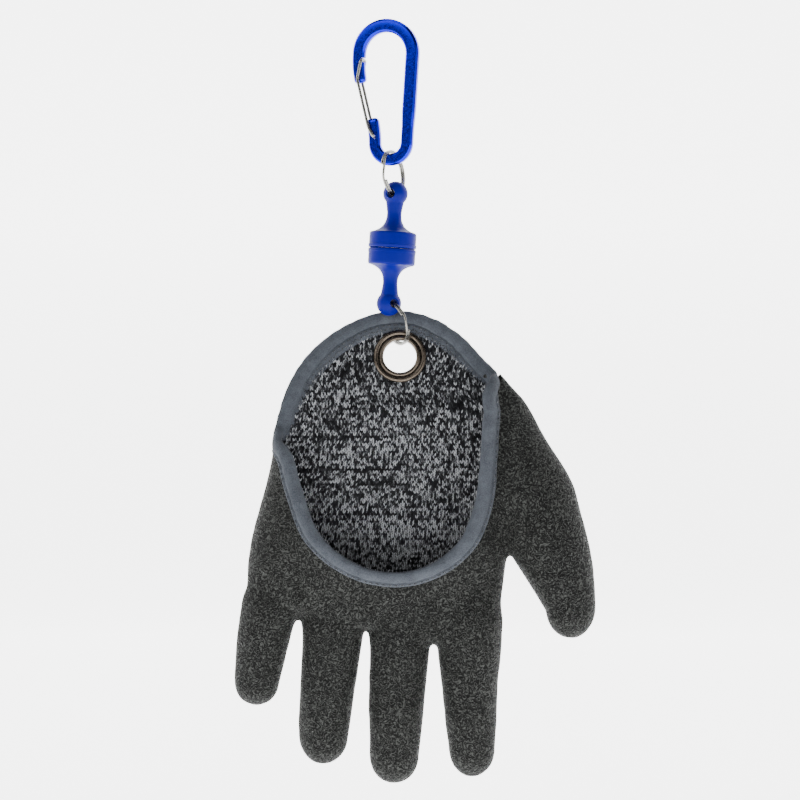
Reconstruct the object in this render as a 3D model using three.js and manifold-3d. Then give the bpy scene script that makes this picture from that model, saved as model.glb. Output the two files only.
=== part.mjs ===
// Fishing glove that hangs from a carabiner by a magnetic connector.
// Millimetres, +Z up. The origin is the hang point: the inside top of the carabiner's upper bend.
// The low-cut wall of the glove faces -Y, the long wall with the eyelet is at +Y, the thumb is at +X.

import * as THREE from 'three';
import { mergeVertices } from 'three/addons/utils/BufferGeometryUtils.js';
import Module from 'manifold-3d';

const wasm = await Module();
wasm.setup();

const DEGREE = Math.PI / 180;

// Clearances
const FIT = 0.3;              // between pieces that touch or run in each other
const CLOTH_GAP = 0.25;       // between the coat and the liner
const TAPE_GAP = 0.2;         // between the tape and the wall that it wraps
const EYELET_PLAY = 0.45;     // more room for the curved ring in the deep eyelet

// Carabiner
const EYE_HEIGHT = 61.2;      // inside height
const TOP_RADIUS = 14.2;      // centreline of the wide bend
const BOTTOM_RADIUS = 8.5;    // centreline of the narrow bend
const BOTTOM_SHIFT = 2.7;     // narrow bend's centre, to the spine's side
const BAR_WIDTH = 6;
const BAR_THICKNESS = 4.2;
const BAR_CHAMFER = 0.8;
const NOSE_DROP = 12.3;       // nose end below the wide bend's centre
const NOSE_LEAN = 0.6;        // nose end inside the wide bend's side
const HOOK_RISE = 10.6;       // hook end above the narrow bend's centre
const HOOK_LEAN = 1.0;        // hook end outside the narrow bend's side
const CARABINER_YAW = -20 * DEGREE;

// Gate
const GATE_WIRE = 1.5;        // wire diameter
const PIVOT_RISE = 3.0;       // pivot above the narrow bend's centre
const PIVOT_INSET = 0.2;      // pivot inside the hook's centreline
const CROSSBAR_DROP = 2.6;    // crossbar below the wide bend's centre
const CROSSBAR_SINK = 1.0;    // how deep the crossbar's centre lies in its notch
const GATE_BEND_RADIUS = 1.6;

// Split rings, both alike
const RING_RADIUS = 10.95;    // centreline
const RING_WIRE_WIDTH = 1.3;  // across the ring
const RING_WIRE_HEIGHT = 1.0; // along the ring's axis
const RING_TURN_GAP = 0.15;   // between its two turns
const UPPER_RING_YAW = -26 * DEGREE;
const LOWER_RING_YAW = 29.2 * DEGREE;
const UPPER_RING_LEAN = 0.11; // how far each ring's way down leans to +X, per mm
const LOWER_RING_LEAN = 0.3;
const EYELET_TURN = 5.5 * DEGREE; // from the lower ring's lowest point to the eyelet, along the ring

// Connector, two halves alike
const BALL_RADIUS = 6.15;
const RING_HOLE_RADIUS = 2.2;
const RING_HOLE_OFFSET = 0.6; // ring's centreline from the ball's centre, where the hole is longest
const NECK_RADIUS = 3.65;
const NECK_DISTANCE = 10.1;   // ball's centre to the narrowest place
const HEAD_RADIUS = 11.75;
const HEAD_HEIGHT = 8.1;
const BALL_TO_FACE = 27.3;
const CONNECTOR_TILT = 3.43 * DEGREE;
const MAGNET_RADIUS = 8;
const MAGNET_HEIGHT = 3;

// Eyelet
const EYELET_INNER_RADIUS = 8.25;
const EYELET_BARREL_WALL = 0.8;
const EYELET_FRONT_RADIUS = 13.25;
const EYELET_BACK_RADIUS = 12.6;
const EYELET_ROLL = 1.35;     // height of the front flange
const EYELET_BACK_HEIGHT = 0.8;
const EYELET_BELOW_EDGE = 13.9; // top of its hole below the bare edge of the wall

// Glove
const GLOVE_LENGTH = 235.6;   // bare top edge of the long wall to the middle fingertip
const GLOVE_WIDTH = 180.5;    // little finger's side to the thumb's side
const PALM_DEPTH = 36;
const COAT_WALL = 0.85;
const LINER_WALL = 0.8;
const WALL_LEAN = 0.147;      // long wall's slope at the eyelet, mm of depth per mm of height
const MOUTH_FALL = 129.2;     // long wall's top edge to the lowest place of the mouth
const PALM_END = 0.668;       // where the palm ends between the fingers, share of the length
const PALM_END_SLOPE = 0.17;  // more of it towards the thumb's side, per share of the width
const SECTION_POWER = 2 / 2.4; // squareness of the palm's sections
const TAPE_WIDTH = 6.3;
const TAPE_WALL = 0.6;

// Facets
const PALM_COLUMNS = 36;
const PALM_LEVELS = 6;
const DIGIT_SIDES = 10;
const RING_SIDES = 16;
const WIRE_SIDES = 6;
const TURNED_SIDES = 16;

const WALL = COAT_WALL + CLOTH_GAP + LINER_WALL;
const CUT = 3;                // how far a cutter runs past what it cuts
const PALM_ROUND = 4.8;       // rounding of the palm's end
const CAP_WAY = 3;            // level part of the palm's closed top, from the edge inward
const CORE_TOP = 10;          // how far a core runs past the top edge

// Palm sections from the top edge down. down: share of GLOVE_LENGTH; left and right: outline from the
// eyelet's axis, shares of GLOVE_WIDTH; side, far and front: depths of the widest line, the long wall's
// departure from its sloping plane and the low-cut wall, shares of PALM_DEPTH.
const PALM_SECTIONS = [
  { down: 0.0, left: -0.322, right: 0.284, side: -0.36, far: 0.0, front: -0.92 },
  { down: 0.21, left: -0.332, right: 0.289, side: -0.36, far: 0.0, front: -0.92 },
  { down: 0.262, left: -0.341, right: 0.292, side: -0.36, far: 0.04, front: -0.93 },
  { down: 0.32, left: -0.356, right: 0.296, side: -0.35, far: 0.15, front: -0.94 },
  { down: 0.4, left: -0.383, right: 0.3, side: -0.34, far: 0.33, front: -0.94 },
  { down: 0.48, left: -0.409, right: 0.301, side: -0.33, far: 0.47, front: -0.92 },
  { down: 0.53, left: -0.418, right: 0.292, side: -0.33, far: 0.53, front: -0.85 },
  { down: 0.612, left: -0.426, right: 0.278, side: -0.32, far: 0.54, front: -0.68 },
  { down: 0.67, left: -0.42, right: 0.268, side: -0.31, far: 0.51, front: -0.6 },
];

// The mouth's edge. around: degrees about the hand's axis from the thumb's side, 90 at the long wall and
// -90 at the low-cut wall; fall: share of MOUTH_FALL below the top.
const MOUTH_EDGE = [
  { around: 88, fall: 0.0 },
  { around: 60, fall: 0.073 },
  { around: 33, fall: 0.193 },
  { around: 10, fall: 0.268 },
  { around: -16, fall: 0.312 },
  { around: -34, fall: 0.37 },
  { around: -39.5, fall: 0.53 },
  { around: -44, fall: 0.715 },
  { around: -54.5, fall: 0.875 },
  { around: -70, fall: 0.972 },
  { around: -86, fall: 1.0 },
  { around: -101, fall: 0.945 },
  { around: -116, fall: 0.845 },
  { around: -133, fall: 0.667 },
  { around: -150, fall: 0.534 },
  { around: -174, fall: 0.475 },
  { around: 163, fall: 0.345 },
  { around: 140, fall: 0.195 },
  { around: 116, fall: 0.075 },
];

// Digits from inside the palm to the last full section, then the tip. across: centre from the eyelet's
// axis, and width: shares of GLOVE_WIDTH; down: share of GLOVE_LENGTH; deep: centre's depth, and depth:
// thickness, shares of PALM_DEPTH.
const DIGITS = {
  little: {
    rows: [
      { across: -0.325, down: 0.53, width: 0.09, deep: -0.38, depth: 0.36 },
      { across: -0.3515, down: 0.607, width: 0.16, deep: -0.31, depth: 0.6 },
      { across: -0.368, down: 0.652, width: 0.153, deep: -0.28, depth: 0.6 },
      { across: -0.388, down: 0.738, width: 0.138, deep: -0.2, depth: 0.56 },
      { across: -0.396, down: 0.785, width: 0.125, deep: -0.15, depth: 0.52 },
    ],
    tip: { across: -0.4, down: 0.832, deep: -0.1 },
  },
  ring: {
    rows: [
      { across: -0.18, down: 0.52, width: 0.12, deep: -0.38, depth: 0.44 },
      { across: -0.182, down: 0.612, width: 0.176, deep: -0.31, depth: 0.64 },
      { across: -0.187, down: 0.695, width: 0.165, deep: -0.28, depth: 0.64 },
      { across: -0.2, down: 0.8, width: 0.152, deep: -0.2, depth: 0.6 },
      { across: -0.212, down: 0.9, width: 0.137, deep: -0.11, depth: 0.55 },
    ],
    tip: { across: -0.219, down: 0.958, deep: -0.05 },
  },
  middle: {
    rows: [
      { across: 0.003, down: 0.525, width: 0.12, deep: -0.38, depth: 0.42 },
      { across: 0.0, down: 0.625, width: 0.178, deep: -0.31, depth: 0.65 },
      { across: 0.0, down: 0.7, width: 0.166, deep: -0.29, depth: 0.65 },
      { across: -0.01, down: 0.83, width: 0.155, deep: -0.2, depth: 0.61 },
      { across: -0.015, down: 0.94, width: 0.137, deep: -0.1, depth: 0.56 },
    ],
    tip: { across: -0.015, down: 1.0, deep: -0.04 },
  },
  index: {
    rows: [
      { across: 0.18, down: 0.515, width: 0.12, deep: -0.38, depth: 0.44 },
      { across: 0.187, down: 0.625, width: 0.184, deep: -0.31, depth: 0.64 },
      { across: 0.191, down: 0.69, width: 0.18, deep: -0.3, depth: 0.65 },
      { across: 0.193, down: 0.79, width: 0.156, deep: -0.23, depth: 0.6 },
      { across: 0.199, down: 0.925, width: 0.127, deep: -0.12, depth: 0.53 },
    ],
    tip: { across: 0.205, down: 0.983, deep: -0.05 },
  },
  thumb: {
    rows: [
      { across: 0.262, down: 0.18, width: 0.04, deep: -0.36, depth: 0.16 },
      { across: 0.303, down: 0.223, width: 0.115, deep: -0.36, depth: 0.45 },
      { across: 0.318, down: 0.287, width: 0.18, deep: -0.36, depth: 0.68 },
      { across: 0.352, down: 0.381, width: 0.245, deep: -0.38, depth: 0.84 },
      { across: 0.404, down: 0.474, width: 0.222, deep: -0.41, depth: 0.86 },
      { across: 0.4535, down: 0.575, width: 0.169, deep: -0.44, depth: 0.74 },
      { across: 0.4697, down: 0.6185, width: 0.141, deep: -0.45, depth: 0.64 },
    ],
    tip: { across: 0.4654, down: 0.6855, deep: -0.46 },
  },
};

// Round end of a digit: steps along its cap, shares of the cap's length
const CAP_STEPS = [0.5, 0.82];

const material = (color, roughness, metalness) =>
  new THREE.MeshStandardMaterial({ color, roughness, metalness });

const BLUE_METAL = material(0x0a14e0, 0.25, 0.9);
const BLUE_PLASTIC = material(0x1a2cc8, 0.5, 0);
const STEEL = material(0xc9c9c6, 0.3, 1);
const NICKEL = material(0x8c8378, 0.3, 1);
const RUBBER = material(0x3c423f, 0.85, 0);
const KNIT = material(0x77797c, 0.95, 0);
const TAPE = material(0x50555d, 0.9, 0);

const vector = (x, y, z) => new THREE.Vector3(x, y, z);

// Solids from meshes and back

function toSolid(geometry) {
  const bare = geometry.clone();
  bare.deleteAttribute('normal');
  bare.deleteAttribute('uv');
  const merged = mergeVertices(bare, 1e-4);
  return new wasm.Manifold(new wasm.Mesh({
    numProp: 3,
    vertProperties: new Float32Array(merged.attributes.position.array),
    triVerts: new Uint32Array(merged.index.array),
  }));
}

function toGeometry(solid) {
  const mesh = solid.getMesh();
  const geometry = new THREE.BufferGeometry();
  geometry.setAttribute('position', new THREE.BufferAttribute(mesh.vertProperties, 3));
  geometry.setIndex(new THREE.BufferAttribute(mesh.triVerts, 1));
  geometry.computeVertexNormals();
  return geometry;
}

// A skin over rings of points that run anticlockwise about their way forward. It closes on itself when
// endless, and otherwise each end is closed by a fan to the middle of its ring, or to the point given.
function loft(rings, { endless = false, start = null, end = null } = {}) {
  const count = rings[0].length;
  const points = rings.flat();
  const index = [];
  const bands = endless ? rings.length : rings.length - 1;
  for (let band = 0; band < bands; band += 1) {
    const near = band * count;
    const next = ((band + 1) % rings.length) * count;
    for (let i = 0; i < count; i += 1) {
      const j = (i + 1) % count;
      index.push(near + i, near + j, next + j, near + i, next + j, next + i);
    }
  }
  if (!endless) {
    const last = (rings.length - 1) * count;
    const startPoint = points.push(start ?? middleOf(rings[0])) - 1;
    const endPoint = points.push(end ?? middleOf(rings.at(-1))) - 1;
    for (let i = 0; i < count; i += 1) {
      const j = (i + 1) % count;
      index.push(startPoint, j, i, endPoint, last + i, last + j);
    }
  }
  const geometry = new THREE.BufferGeometry().setFromPoints(points);
  geometry.setIndex(index);
  geometry.computeVertexNormals();
  return geometry;
}

function middleOf(ring) {
  const sum = vector(0, 0, 0);
  ring.forEach((point) => sum.add(point));
  return sum.divideScalar(ring.length);
}

// A profile carried along a path: each station has a place and the two directions of its profile.
function sweep(stations, profile, options) {
  const rings = stations.map(({ place, across, up, scale = 1 }) => profile.map(([a, b]) =>
    place.clone().addScaledVector(across, a * scale).addScaledVector(up, b * scale)));
  return loft(rings, options);
}

function roundProfile(radiusAcross, radiusUp, sides) {
  return Array.from({ length: sides }, (_, i) => {
    const angle = (2 * Math.PI * (i + 0.5)) / sides;
    return [radiusAcross * Math.cos(angle), radiusUp * Math.sin(angle)];
  });
}

// A value of a table's column, straight between its rows
function readTable(table, column, at) {
  const next = table.findIndex((row) => row.down > at);
  if (next === 0) return table[0][column];
  if (next < 0) return table.at(-1)[column];
  const above = table[next - 1];
  const below = table[next];
  const share = (at - above.down) / (below.down - above.down);
  return above[column] + share * (below[column] - above[column]);
}

function addMesh(group, name, geometry, finish) {
  const mesh = new THREE.Mesh(geometry, finish);
  mesh.name = name;
  group.add(mesh);
  return mesh;
}

// A cylinder between two points
function rod(from, to, radius, sides) {
  const geometry = new THREE.CylinderGeometry(radius, radius, from.distanceTo(to), sides);
  const turn = new THREE.Quaternion().setFromUnitVectors(vector(0, 1, 0), to.clone().sub(from).normalize());
  geometry.applyQuaternion(turn);
  const middle = from.clone().add(to).multiplyScalar(0.5);
  geometry.translate(middle.x, middle.y, middle.z);
  return toSolid(geometry);
}

// Carabiner in its own plane: X across, Z up, Y through the bar

const topCentre = { x: 0, z: -(TOP_RADIUS - BAR_WIDTH / 2) };
const bottomCentre = { x: BOTTOM_SHIFT, z: -(EYE_HEIGHT - BOTTOM_RADIUS + BAR_WIDTH / 2) };
const hookSide = bottomCentre.x - BOTTOM_RADIUS;
const noseEnd = { x: -TOP_RADIUS + NOSE_LEAN, z: topCentre.z - NOSE_DROP };
const hookEnd = { x: hookSide - HOOK_LEAN, z: bottomCentre.z + HOOK_RISE };
const pivot = { x: hookSide + PIVOT_INSET, z: bottomCentre.z + PIVOT_RISE };
const crossbar = {
  x: -TOP_RADIUS + BAR_WIDTH / 2 - CROSSBAR_SINK,
  z: topCentre.z - CROSSBAR_DROP,
};
const gateOffset = BAR_THICKNESS / 2 + FIT + GATE_WIRE / 2;

function carabinerPath() {
  const path = new THREE.Path();
  path.moveTo(noseEnd.x, noseEnd.z);
  path.quadraticCurveTo(-TOP_RADIUS - NOSE_LEAN, (noseEnd.z + topCentre.z) / 2, -TOP_RADIUS, topCentre.z);
  path.absarc(topCentre.x, topCentre.z, TOP_RADIUS, Math.PI, 0, true);
  path.lineTo(bottomCentre.x + BOTTOM_RADIUS, bottomCentre.z);
  path.absarc(bottomCentre.x, bottomCentre.z, BOTTOM_RADIUS, 0, -Math.PI, true);
  path.quadraticCurveTo(hookSide, (bottomCentre.z + hookEnd.z) / 2, hookEnd.x, hookEnd.z);
  return path;
}

function buildCarabinerFrame() {
  const path = carabinerPath();
  const steps = 32;
  const endScale = 0.45;
  const halfWidth = BAR_WIDTH / 2;
  const halfThickness = BAR_THICKNESS / 2;
  const profile = [
    [halfWidth, -halfThickness + BAR_CHAMFER],
    [halfWidth, halfThickness - BAR_CHAMFER],
    [halfWidth - BAR_CHAMFER, halfThickness],
    [-halfWidth + BAR_CHAMFER, halfThickness],
    [-halfWidth, halfThickness - BAR_CHAMFER],
    [-halfWidth, -halfThickness + BAR_CHAMFER],
    [-halfWidth + BAR_CHAMFER, -halfThickness],
    [halfWidth - BAR_CHAMFER, -halfThickness],
  ];
  const stations = [];
  for (let i = 0; i <= steps; i += 1) {
    const point = path.getPointAt(i / steps);
    const tangent = path.getTangentAt(i / steps);
    stations.push({
      place: vector(point.x, 0, point.y),
      across: vector(tangent.y, 0, -tangent.x),
      up: vector(0, 1, 0),
      along: vector(tangent.x, 0, tangent.y),
    });
  }
  const roundEnd = (station, way) => ({
    ...station,
    place: station.place.clone().addScaledVector(station.along, way * BAR_WIDTH * 0.3),
    scale: endScale,
  });
  stations.unshift(roundEnd(stations[0], -1));
  stations.push(roundEnd(stations.at(-1), 1));
  const bar = toSolid(sweep(stations, profile));

  const holeRadius = GATE_WIRE / 2 + FIT;
  const pivotHole = rod(
    vector(pivot.x, -halfThickness - CUT, pivot.z),
    vector(pivot.x, halfThickness + CUT, pivot.z),
    holeRadius,
    WIRE_SIDES * 2,
  );
  const notchEnd = rod(
    vector(crossbar.x, -halfThickness - CUT, crossbar.z),
    vector(crossbar.x, halfThickness + CUT, crossbar.z),
    holeRadius,
    WIRE_SIDES * 2,
  );
  const notchWay = new THREE.BoxGeometry(CUT, BAR_THICKNESS + 2 * CUT, 2 * holeRadius);
  notchWay.translate(crossbar.x + CUT / 2, 0, crossbar.z);
  const notch = notchEnd.add(toSolid(notchWay));
  return toGeometry(bar.subtract(pivotHole).subtract(notch));
}

// The gate is one closed loop of wire: a leg on each side of the bar, the crossbar in the nose's notch and
// the pin in the hook's hole.
function buildGate() {
  const kink = { x: noseEnd.x - NOSE_LEAN, z: noseEnd.z };
  const shin = { x: pivot.x - 2.6, z: pivot.z + 4.6 };
  const corners = [
    vector(pivot.x, -gateOffset, pivot.z),
    vector(shin.x, -gateOffset, shin.z),
    vector(kink.x, -gateOffset, kink.z),
    vector(crossbar.x, -gateOffset, crossbar.z),
    vector(crossbar.x, gateOffset, crossbar.z),
    vector(kink.x, gateOffset, kink.z),
    vector(shin.x, gateOffset, shin.z),
    vector(pivot.x, gateOffset, pivot.z),
  ];
  const places = corners.flatMap((corner, i) => {
    const before = corners.at(i - 1);
    const after = corners[(i + 1) % corners.length];
    const toBefore = before.clone().sub(corner);
    const toAfter = after.clone().sub(corner);
    const reach = Math.min(GATE_BEND_RADIUS, toBefore.length() / 3, toAfter.length() / 3);
    const start = corner.clone().addScaledVector(toBefore.normalize(), reach);
    const end = corner.clone().addScaledVector(toAfter.normalize(), reach);
    const middle = new THREE.QuadraticBezierCurve3(start, corner, end).getPoint(0.5);
    return [start, middle, end];
  });
  const centre = middleOf(places);
  const stations = places.map((place, i) => {
    const along = places[(i + 1) % places.length].clone().sub(places.at(i - 1)).normalize();
    const out = place.clone().sub(centre);
    const across = out.addScaledVector(along, -out.dot(along)).normalize();
    return { place, across, up: along.clone().cross(across) };
  });
  return sweep(stations, roundProfile(GATE_WIRE / 2, GATE_WIRE / 2, WIRE_SIDES), { endless: true });
}

// A split ring in the plane of X and Z, its axis along Y: two turns side by side, with one step across
function buildSplitRing() {
  const stepHalf = 0.06;
  const pitch = RING_WIRE_HEIGHT + RING_TURN_GAP;
  const total = 2 * RING_SIDES;
  const stations = [];
  for (let i = 0; i <= total; i += 1) {
    const turn = stepHalf + ((2 - 2 * stepHalf) * i) / total;
    const rise = THREE.MathUtils.smoothstep(turn, 1 - stepHalf, 1 + stepHalf);
    const angle = 2 * Math.PI * turn;
    const out = vector(Math.cos(angle), 0, Math.sin(angle));
    stations.push({
      place: out.clone().multiplyScalar(RING_RADIUS).add(vector(0, (rise - 0.5) * pitch, 0)),
      across: out,
      up: vector(0, 1, 0),
    });
  }
  const halfWidth = RING_WIRE_WIDTH / 2 / Math.cos(Math.PI / WIRE_SIDES);
  const halfHeight = RING_WIRE_HEIGHT / 2;
  return sweep(stations, roundProfile(halfWidth, halfHeight, WIRE_SIDES));
}

// The plane of a hanging ring: forward is level and turned by yaw from the viewer's way, and down is
// square to it and leans to +X.
function ringPlane(yaw, lean) {
  const forward = vector(Math.sin(yaw), -Math.cos(yaw), 0);
  const leanDeep = lean * Math.tan(yaw);
  const down = vector(lean, leanDeep, -Math.sqrt(1 - lean ** 2 - leanDeep ** 2));
  return { forward, down };
}

function placeRing(mesh, centre, { forward, down }) {
  const axis = down.clone().cross(forward);
  mesh.quaternion.setFromRotationMatrix(new THREE.Matrix4().makeBasis(forward, axis, down));
  mesh.position.copy(centre);
}

// Half of the connector, ball at the origin, head towards -Z, parting face at -BALL_TO_FACE
function buildConnectorHalf(holeYaw) {
  const ballSteps = 7;
  const ballEnd = Math.asin(NECK_RADIUS / BALL_RADIUS) * 1.28;
  const profile = [];
  for (let i = 0; i <= ballSteps; i += 1) {
    const angle = Math.PI - ((Math.PI - ballEnd) * i) / ballSteps;
    profile.push([BALL_RADIUS * Math.sin(angle), BALL_RADIUS * Math.cos(angle)]);
  }
  profile[0] = [0, -BALL_RADIUS];
  const headStart = BALL_TO_FACE - HEAD_HEIGHT;
  const flare = headStart - NECK_DISTANCE;
  const spread = HEAD_RADIUS - NECK_RADIUS;
  const edge = 0.7;
  profile.push(
    [NECK_RADIUS + 0.25, NECK_DISTANCE - 2.2],
    [NECK_RADIUS, NECK_DISTANCE],
    [NECK_RADIUS + 0.06 * spread, NECK_DISTANCE + 0.4 * flare],
    [NECK_RADIUS + 0.27 * spread, NECK_DISTANCE + 0.72 * flare],
    [NECK_RADIUS + 0.6 * spread, NECK_DISTANCE + 0.92 * flare],
    [HEAD_RADIUS - edge, headStart],
    [HEAD_RADIUS, headStart + edge],
    [HEAD_RADIUS, BALL_TO_FACE],
    [MAGNET_RADIUS + FIT, BALL_TO_FACE],
    [MAGNET_RADIUS + FIT, BALL_TO_FACE - MAGNET_HEIGHT - 2 * FIT],
    [0, BALL_TO_FACE - MAGNET_HEIGHT - 2 * FIT],
  );
  const points = profile.map(([radius, distance]) => new THREE.Vector2(radius, distance));
  const turned = new THREE.LatheGeometry(points, TURNED_SIDES);
  turned.rotateX(-Math.PI / 2);
  const way = vector(Math.sin(holeYaw), -Math.cos(holeYaw), 0).multiplyScalar(BALL_RADIUS + CUT);
  const hole = rod(way.clone().negate(), way, RING_HOLE_RADIUS, 2 * WIRE_SIDES);
  return toGeometry(toSolid(turned).subtract(hole));
}

// The eyelet, its axis along Y: 0 is the outside of the wall, the viewer's side is -Y
function buildEyelet() {
  const hole = EYELET_INNER_RADIUS;
  const barrel = hole + EYELET_BARREL_WALL;
  const seatFront = -(WALL + FIT);
  const front = seatFront - EYELET_ROLL;
  const width = EYELET_FRONT_RADIUS - hole;
  const profile = [
    [hole, FIT + EYELET_BACK_HEIGHT * 0.5],
    [hole, seatFront - 0.3],
    [hole + 0.14 * width, front],
    [hole + 0.36 * width, front + 0.1],
    [hole + 0.5 * width, front + 0.5],
    [hole + 0.66 * width, front + 0.1],
    [hole + 0.86 * width, front],
    [EYELET_FRONT_RADIUS, front + 0.55],
    [EYELET_FRONT_RADIUS, seatFront],
    [barrel, seatFront],
    [barrel, FIT],
    [EYELET_BACK_RADIUS, FIT],
    [EYELET_BACK_RADIUS, FIT + EYELET_BACK_HEIGHT * 0.6],
    [barrel, FIT + EYELET_BACK_HEIGHT],
  ];
  const points = [...profile, profile[0]].map(([radius, depth]) => new THREE.Vector2(radius, depth));
  return toGeometry(toSolid(new THREE.LatheGeometry(points, TURNED_SIDES)));
}

// Glove in its own frame: X from the eyelet's axis, Y from the long wall's sloping plane at the top of the
// eyelet's hole, Z from the bare top edge of the long wall

const signedPower = (value) => Math.sign(value) * Math.abs(value) ** SECTION_POWER;
const wallPlane = (z) => WALL_LEAN * (z + EYELET_BELOW_EDGE);

// A point of the palm: angle about the hand, height, and how far inside the outer skin
function palmPoint(angle, z, inset) {
  const down = -z / GLOVE_LENGTH;
  const read = (column) => readTable(PALM_SECTIONS, column, down);
  const left = read('left') * GLOVE_WIDTH + inset;
  const right = read('right') * GLOVE_WIDTH - inset;
  const side = read('side') * PALM_DEPTH;
  const far = wallPlane(z) + read('far') * PALM_DEPTH - inset;
  const front = read('front') * PALM_DEPTH + inset;
  const across = signedPower(Math.cos(angle));
  const deep = signedPower(Math.sin(angle));
  return vector(
    (left + right) / 2 + ((right - left) / 2) * across,
    side + (deep > 0 ? far - side : side - front) * deep,
    z,
  );
}

// The mouth's edge as columns, evenly spaced along it. Each holds its angle and height, and how far both
// change for a millimetre's way from the edge into the glove, square to the edge and along the skin.
function mouthColumns() {
  const halfWidth = (GLOVE_WIDTH * (PALM_SECTIONS[0].right - PALM_SECTIONS[0].left)) / 2;
  const halfDepth = PALM_DEPTH / 2;
  const points = MOUTH_EDGE.map(({ around, fall }) => vector(
    halfWidth * Math.cos(around * DEGREE),
    halfDepth * Math.sin(around * DEGREE),
    -fall * MOUTH_FALL,
  ));
  const curve = new THREE.CatmullRomCurve3(points.reverse(), true, 'centripetal');
  const columns = curve.getSpacedPoints(PALM_COLUMNS).slice(0, PALM_COLUMNS).map((point) => ({
    angle: Math.atan2(point.y / halfDepth, point.x / halfWidth),
    z: point.z,
  }));
  const step = 1e-3;
  const place = ({ angle, z }) => palmPoint(angle, z, 0);
  return columns.map((column, i) => {
    const { angle, z } = column;
    const here = place(column);
    const turn = palmPoint(angle + step, z, 0).sub(here).divideScalar(step);
    const rise = palmPoint(angle, z + step, 0).sub(here).divideScalar(step);
    const along = place(columns[(i + 1) % PALM_COLUMNS]).sub(place(columns.at(i - 1)));
    const inward = turn.clone().cross(rise).cross(along).normalize();
    if (inward.z > 0) inward.negate();
    const [turnTurn, riseRise, turnRise] = [turn.dot(turn), rise.dot(rise), turn.dot(rise)];
    const [inwardTurn, inwardRise] = [inward.dot(turn), inward.dot(rise)];
    const area = turnTurn * riseRise - turnRise * turnRise;
    const end = PALM_END + (PALM_END_SLOPE * here.x) / GLOVE_WIDTH;
    return {
      angle,
      z,
      bottom: -end * GLOVE_LENGTH,
      angleInward: (inwardTurn * riseRise - inwardRise * turnRise) / area,
      zInward: (inwardRise * turnTurn - inwardTurn * turnRise) / area,
    };
  });
}

const mouth = mouthColumns();

// The palm as a closed solid up to the mouth, raised past it by a way square to its edge. Above the mouth
// it is capped level for a way inward and then down to the middle. A core runs on past the mouth, so a
// wall cut from a palm by a core has a level edge.
function palmSolid(inset, { raise = 0, core = false } = {}) {
  const level = (share, extra) => mouth.map(({ angle, z, angleInward, zInward, bottom }) => palmPoint(
    angle - angleInward * raise * share,
    THREE.MathUtils.lerp(bottom + inset, z - zInward * raise, share),
    inset + extra,
  ));
  const bottomRound = level(0, PALM_ROUND);
  bottomRound.forEach((point) => point.setZ(point.z - PALM_ROUND / 2));
  const rings = [bottomRound, level(0, PALM_ROUND / 4)];
  for (let i = 1; i <= PALM_LEVELS; i += 1) rings.push(level(i / PALM_LEVELS, 0));
  if (core) {
    rings.push(mouth.map(({ angle, z }) => palmPoint(angle, (z + CORE_TOP) / 2, inset)));
    rings.push(mouth.map(({ angle }) => palmPoint(angle, CORE_TOP, inset)));
  } else {
    rings.push(level(1, CAP_WAY));
  }
  return toSolid(loft(rings));
}

// A finger or thumb: oval sections across its own line, then a round cap
function digitSolid({ rows, tip }, inset) {
  const placeOf = (row) => vector(
    row.across * GLOVE_WIDTH,
    row.deep * PALM_DEPTH,
    -row.down * GLOVE_LENGTH,
  );
  const sections = rows.map((row) => ({
    place: placeOf(row),
    halfWidth: (row.width * GLOVE_WIDTH) / 2 - inset,
    halfDepth: (row.depth * PALM_DEPTH) / 2 - inset,
  }));
  const last = sections.at(-1);
  const tipWay = placeOf(tip).sub(last.place);
  tipWay.setLength(tipWay.length() - inset);
  CAP_STEPS.forEach((step) => {
    const scale = Math.sqrt(1 - step * step);
    sections.push({
      place: last.place.clone().addScaledVector(tipWay, step),
      halfWidth: last.halfWidth * scale,
      halfDepth: last.halfDepth * scale,
    });
  });
  const end = last.place.clone().add(tipWay);
  const places = [...sections.map(({ place }) => place), end];
  const rings = sections.map(({ place, halfWidth, halfDepth }, i) => {
    const along = places[i + 1].clone().sub(places[Math.max(i - 1, 0)]).normalize();
    const deep = vector(0, 1, 0).addScaledVector(along, -along.y).normalize();
    const across = deep.clone().cross(along);
    return roundProfile(halfWidth, halfDepth, DIGIT_SIDES).map(([a, b]) =>
      place.clone().addScaledVector(across, a).addScaledVector(deep, b));
  });
  return toSolid(loft(rings, { end }));
}

// The whole hand inside the outer skin by inset
function handSolid(inset, mouthOptions) {
  return Object.values(DIGITS).reduce(
    (hand, digit) => hand.add(digitSolid(digit, inset)),
    palmSolid(inset, mouthOptions),
  );
}

const eyeletPlace = () => {
  const z = -EYELET_BELOW_EDGE - EYELET_INNER_RADIUS;
  return vector(0, wallPlane(z), z);
};
const wallTilt = Math.atan(WALL_LEAN);

function eyeletHole() {
  const middle = eyeletPlace();
  const through = vector(0, Math.cos(wallTilt), -Math.sin(wallTilt)).multiplyScalar(WALL + 2 * CUT);
  const radius = EYELET_INNER_RADIUS + EYELET_BARREL_WALL + FIT;
  return rod(middle.clone().sub(through), middle.clone().add(through), radius, TURNED_SIDES);
}

function buildSkin(inset, wall) {
  const skin = handSolid(inset).subtract(handSolid(inset + wall, { core: true }));
  return toGeometry(skin.subtract(eyeletHole()));
}

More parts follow.
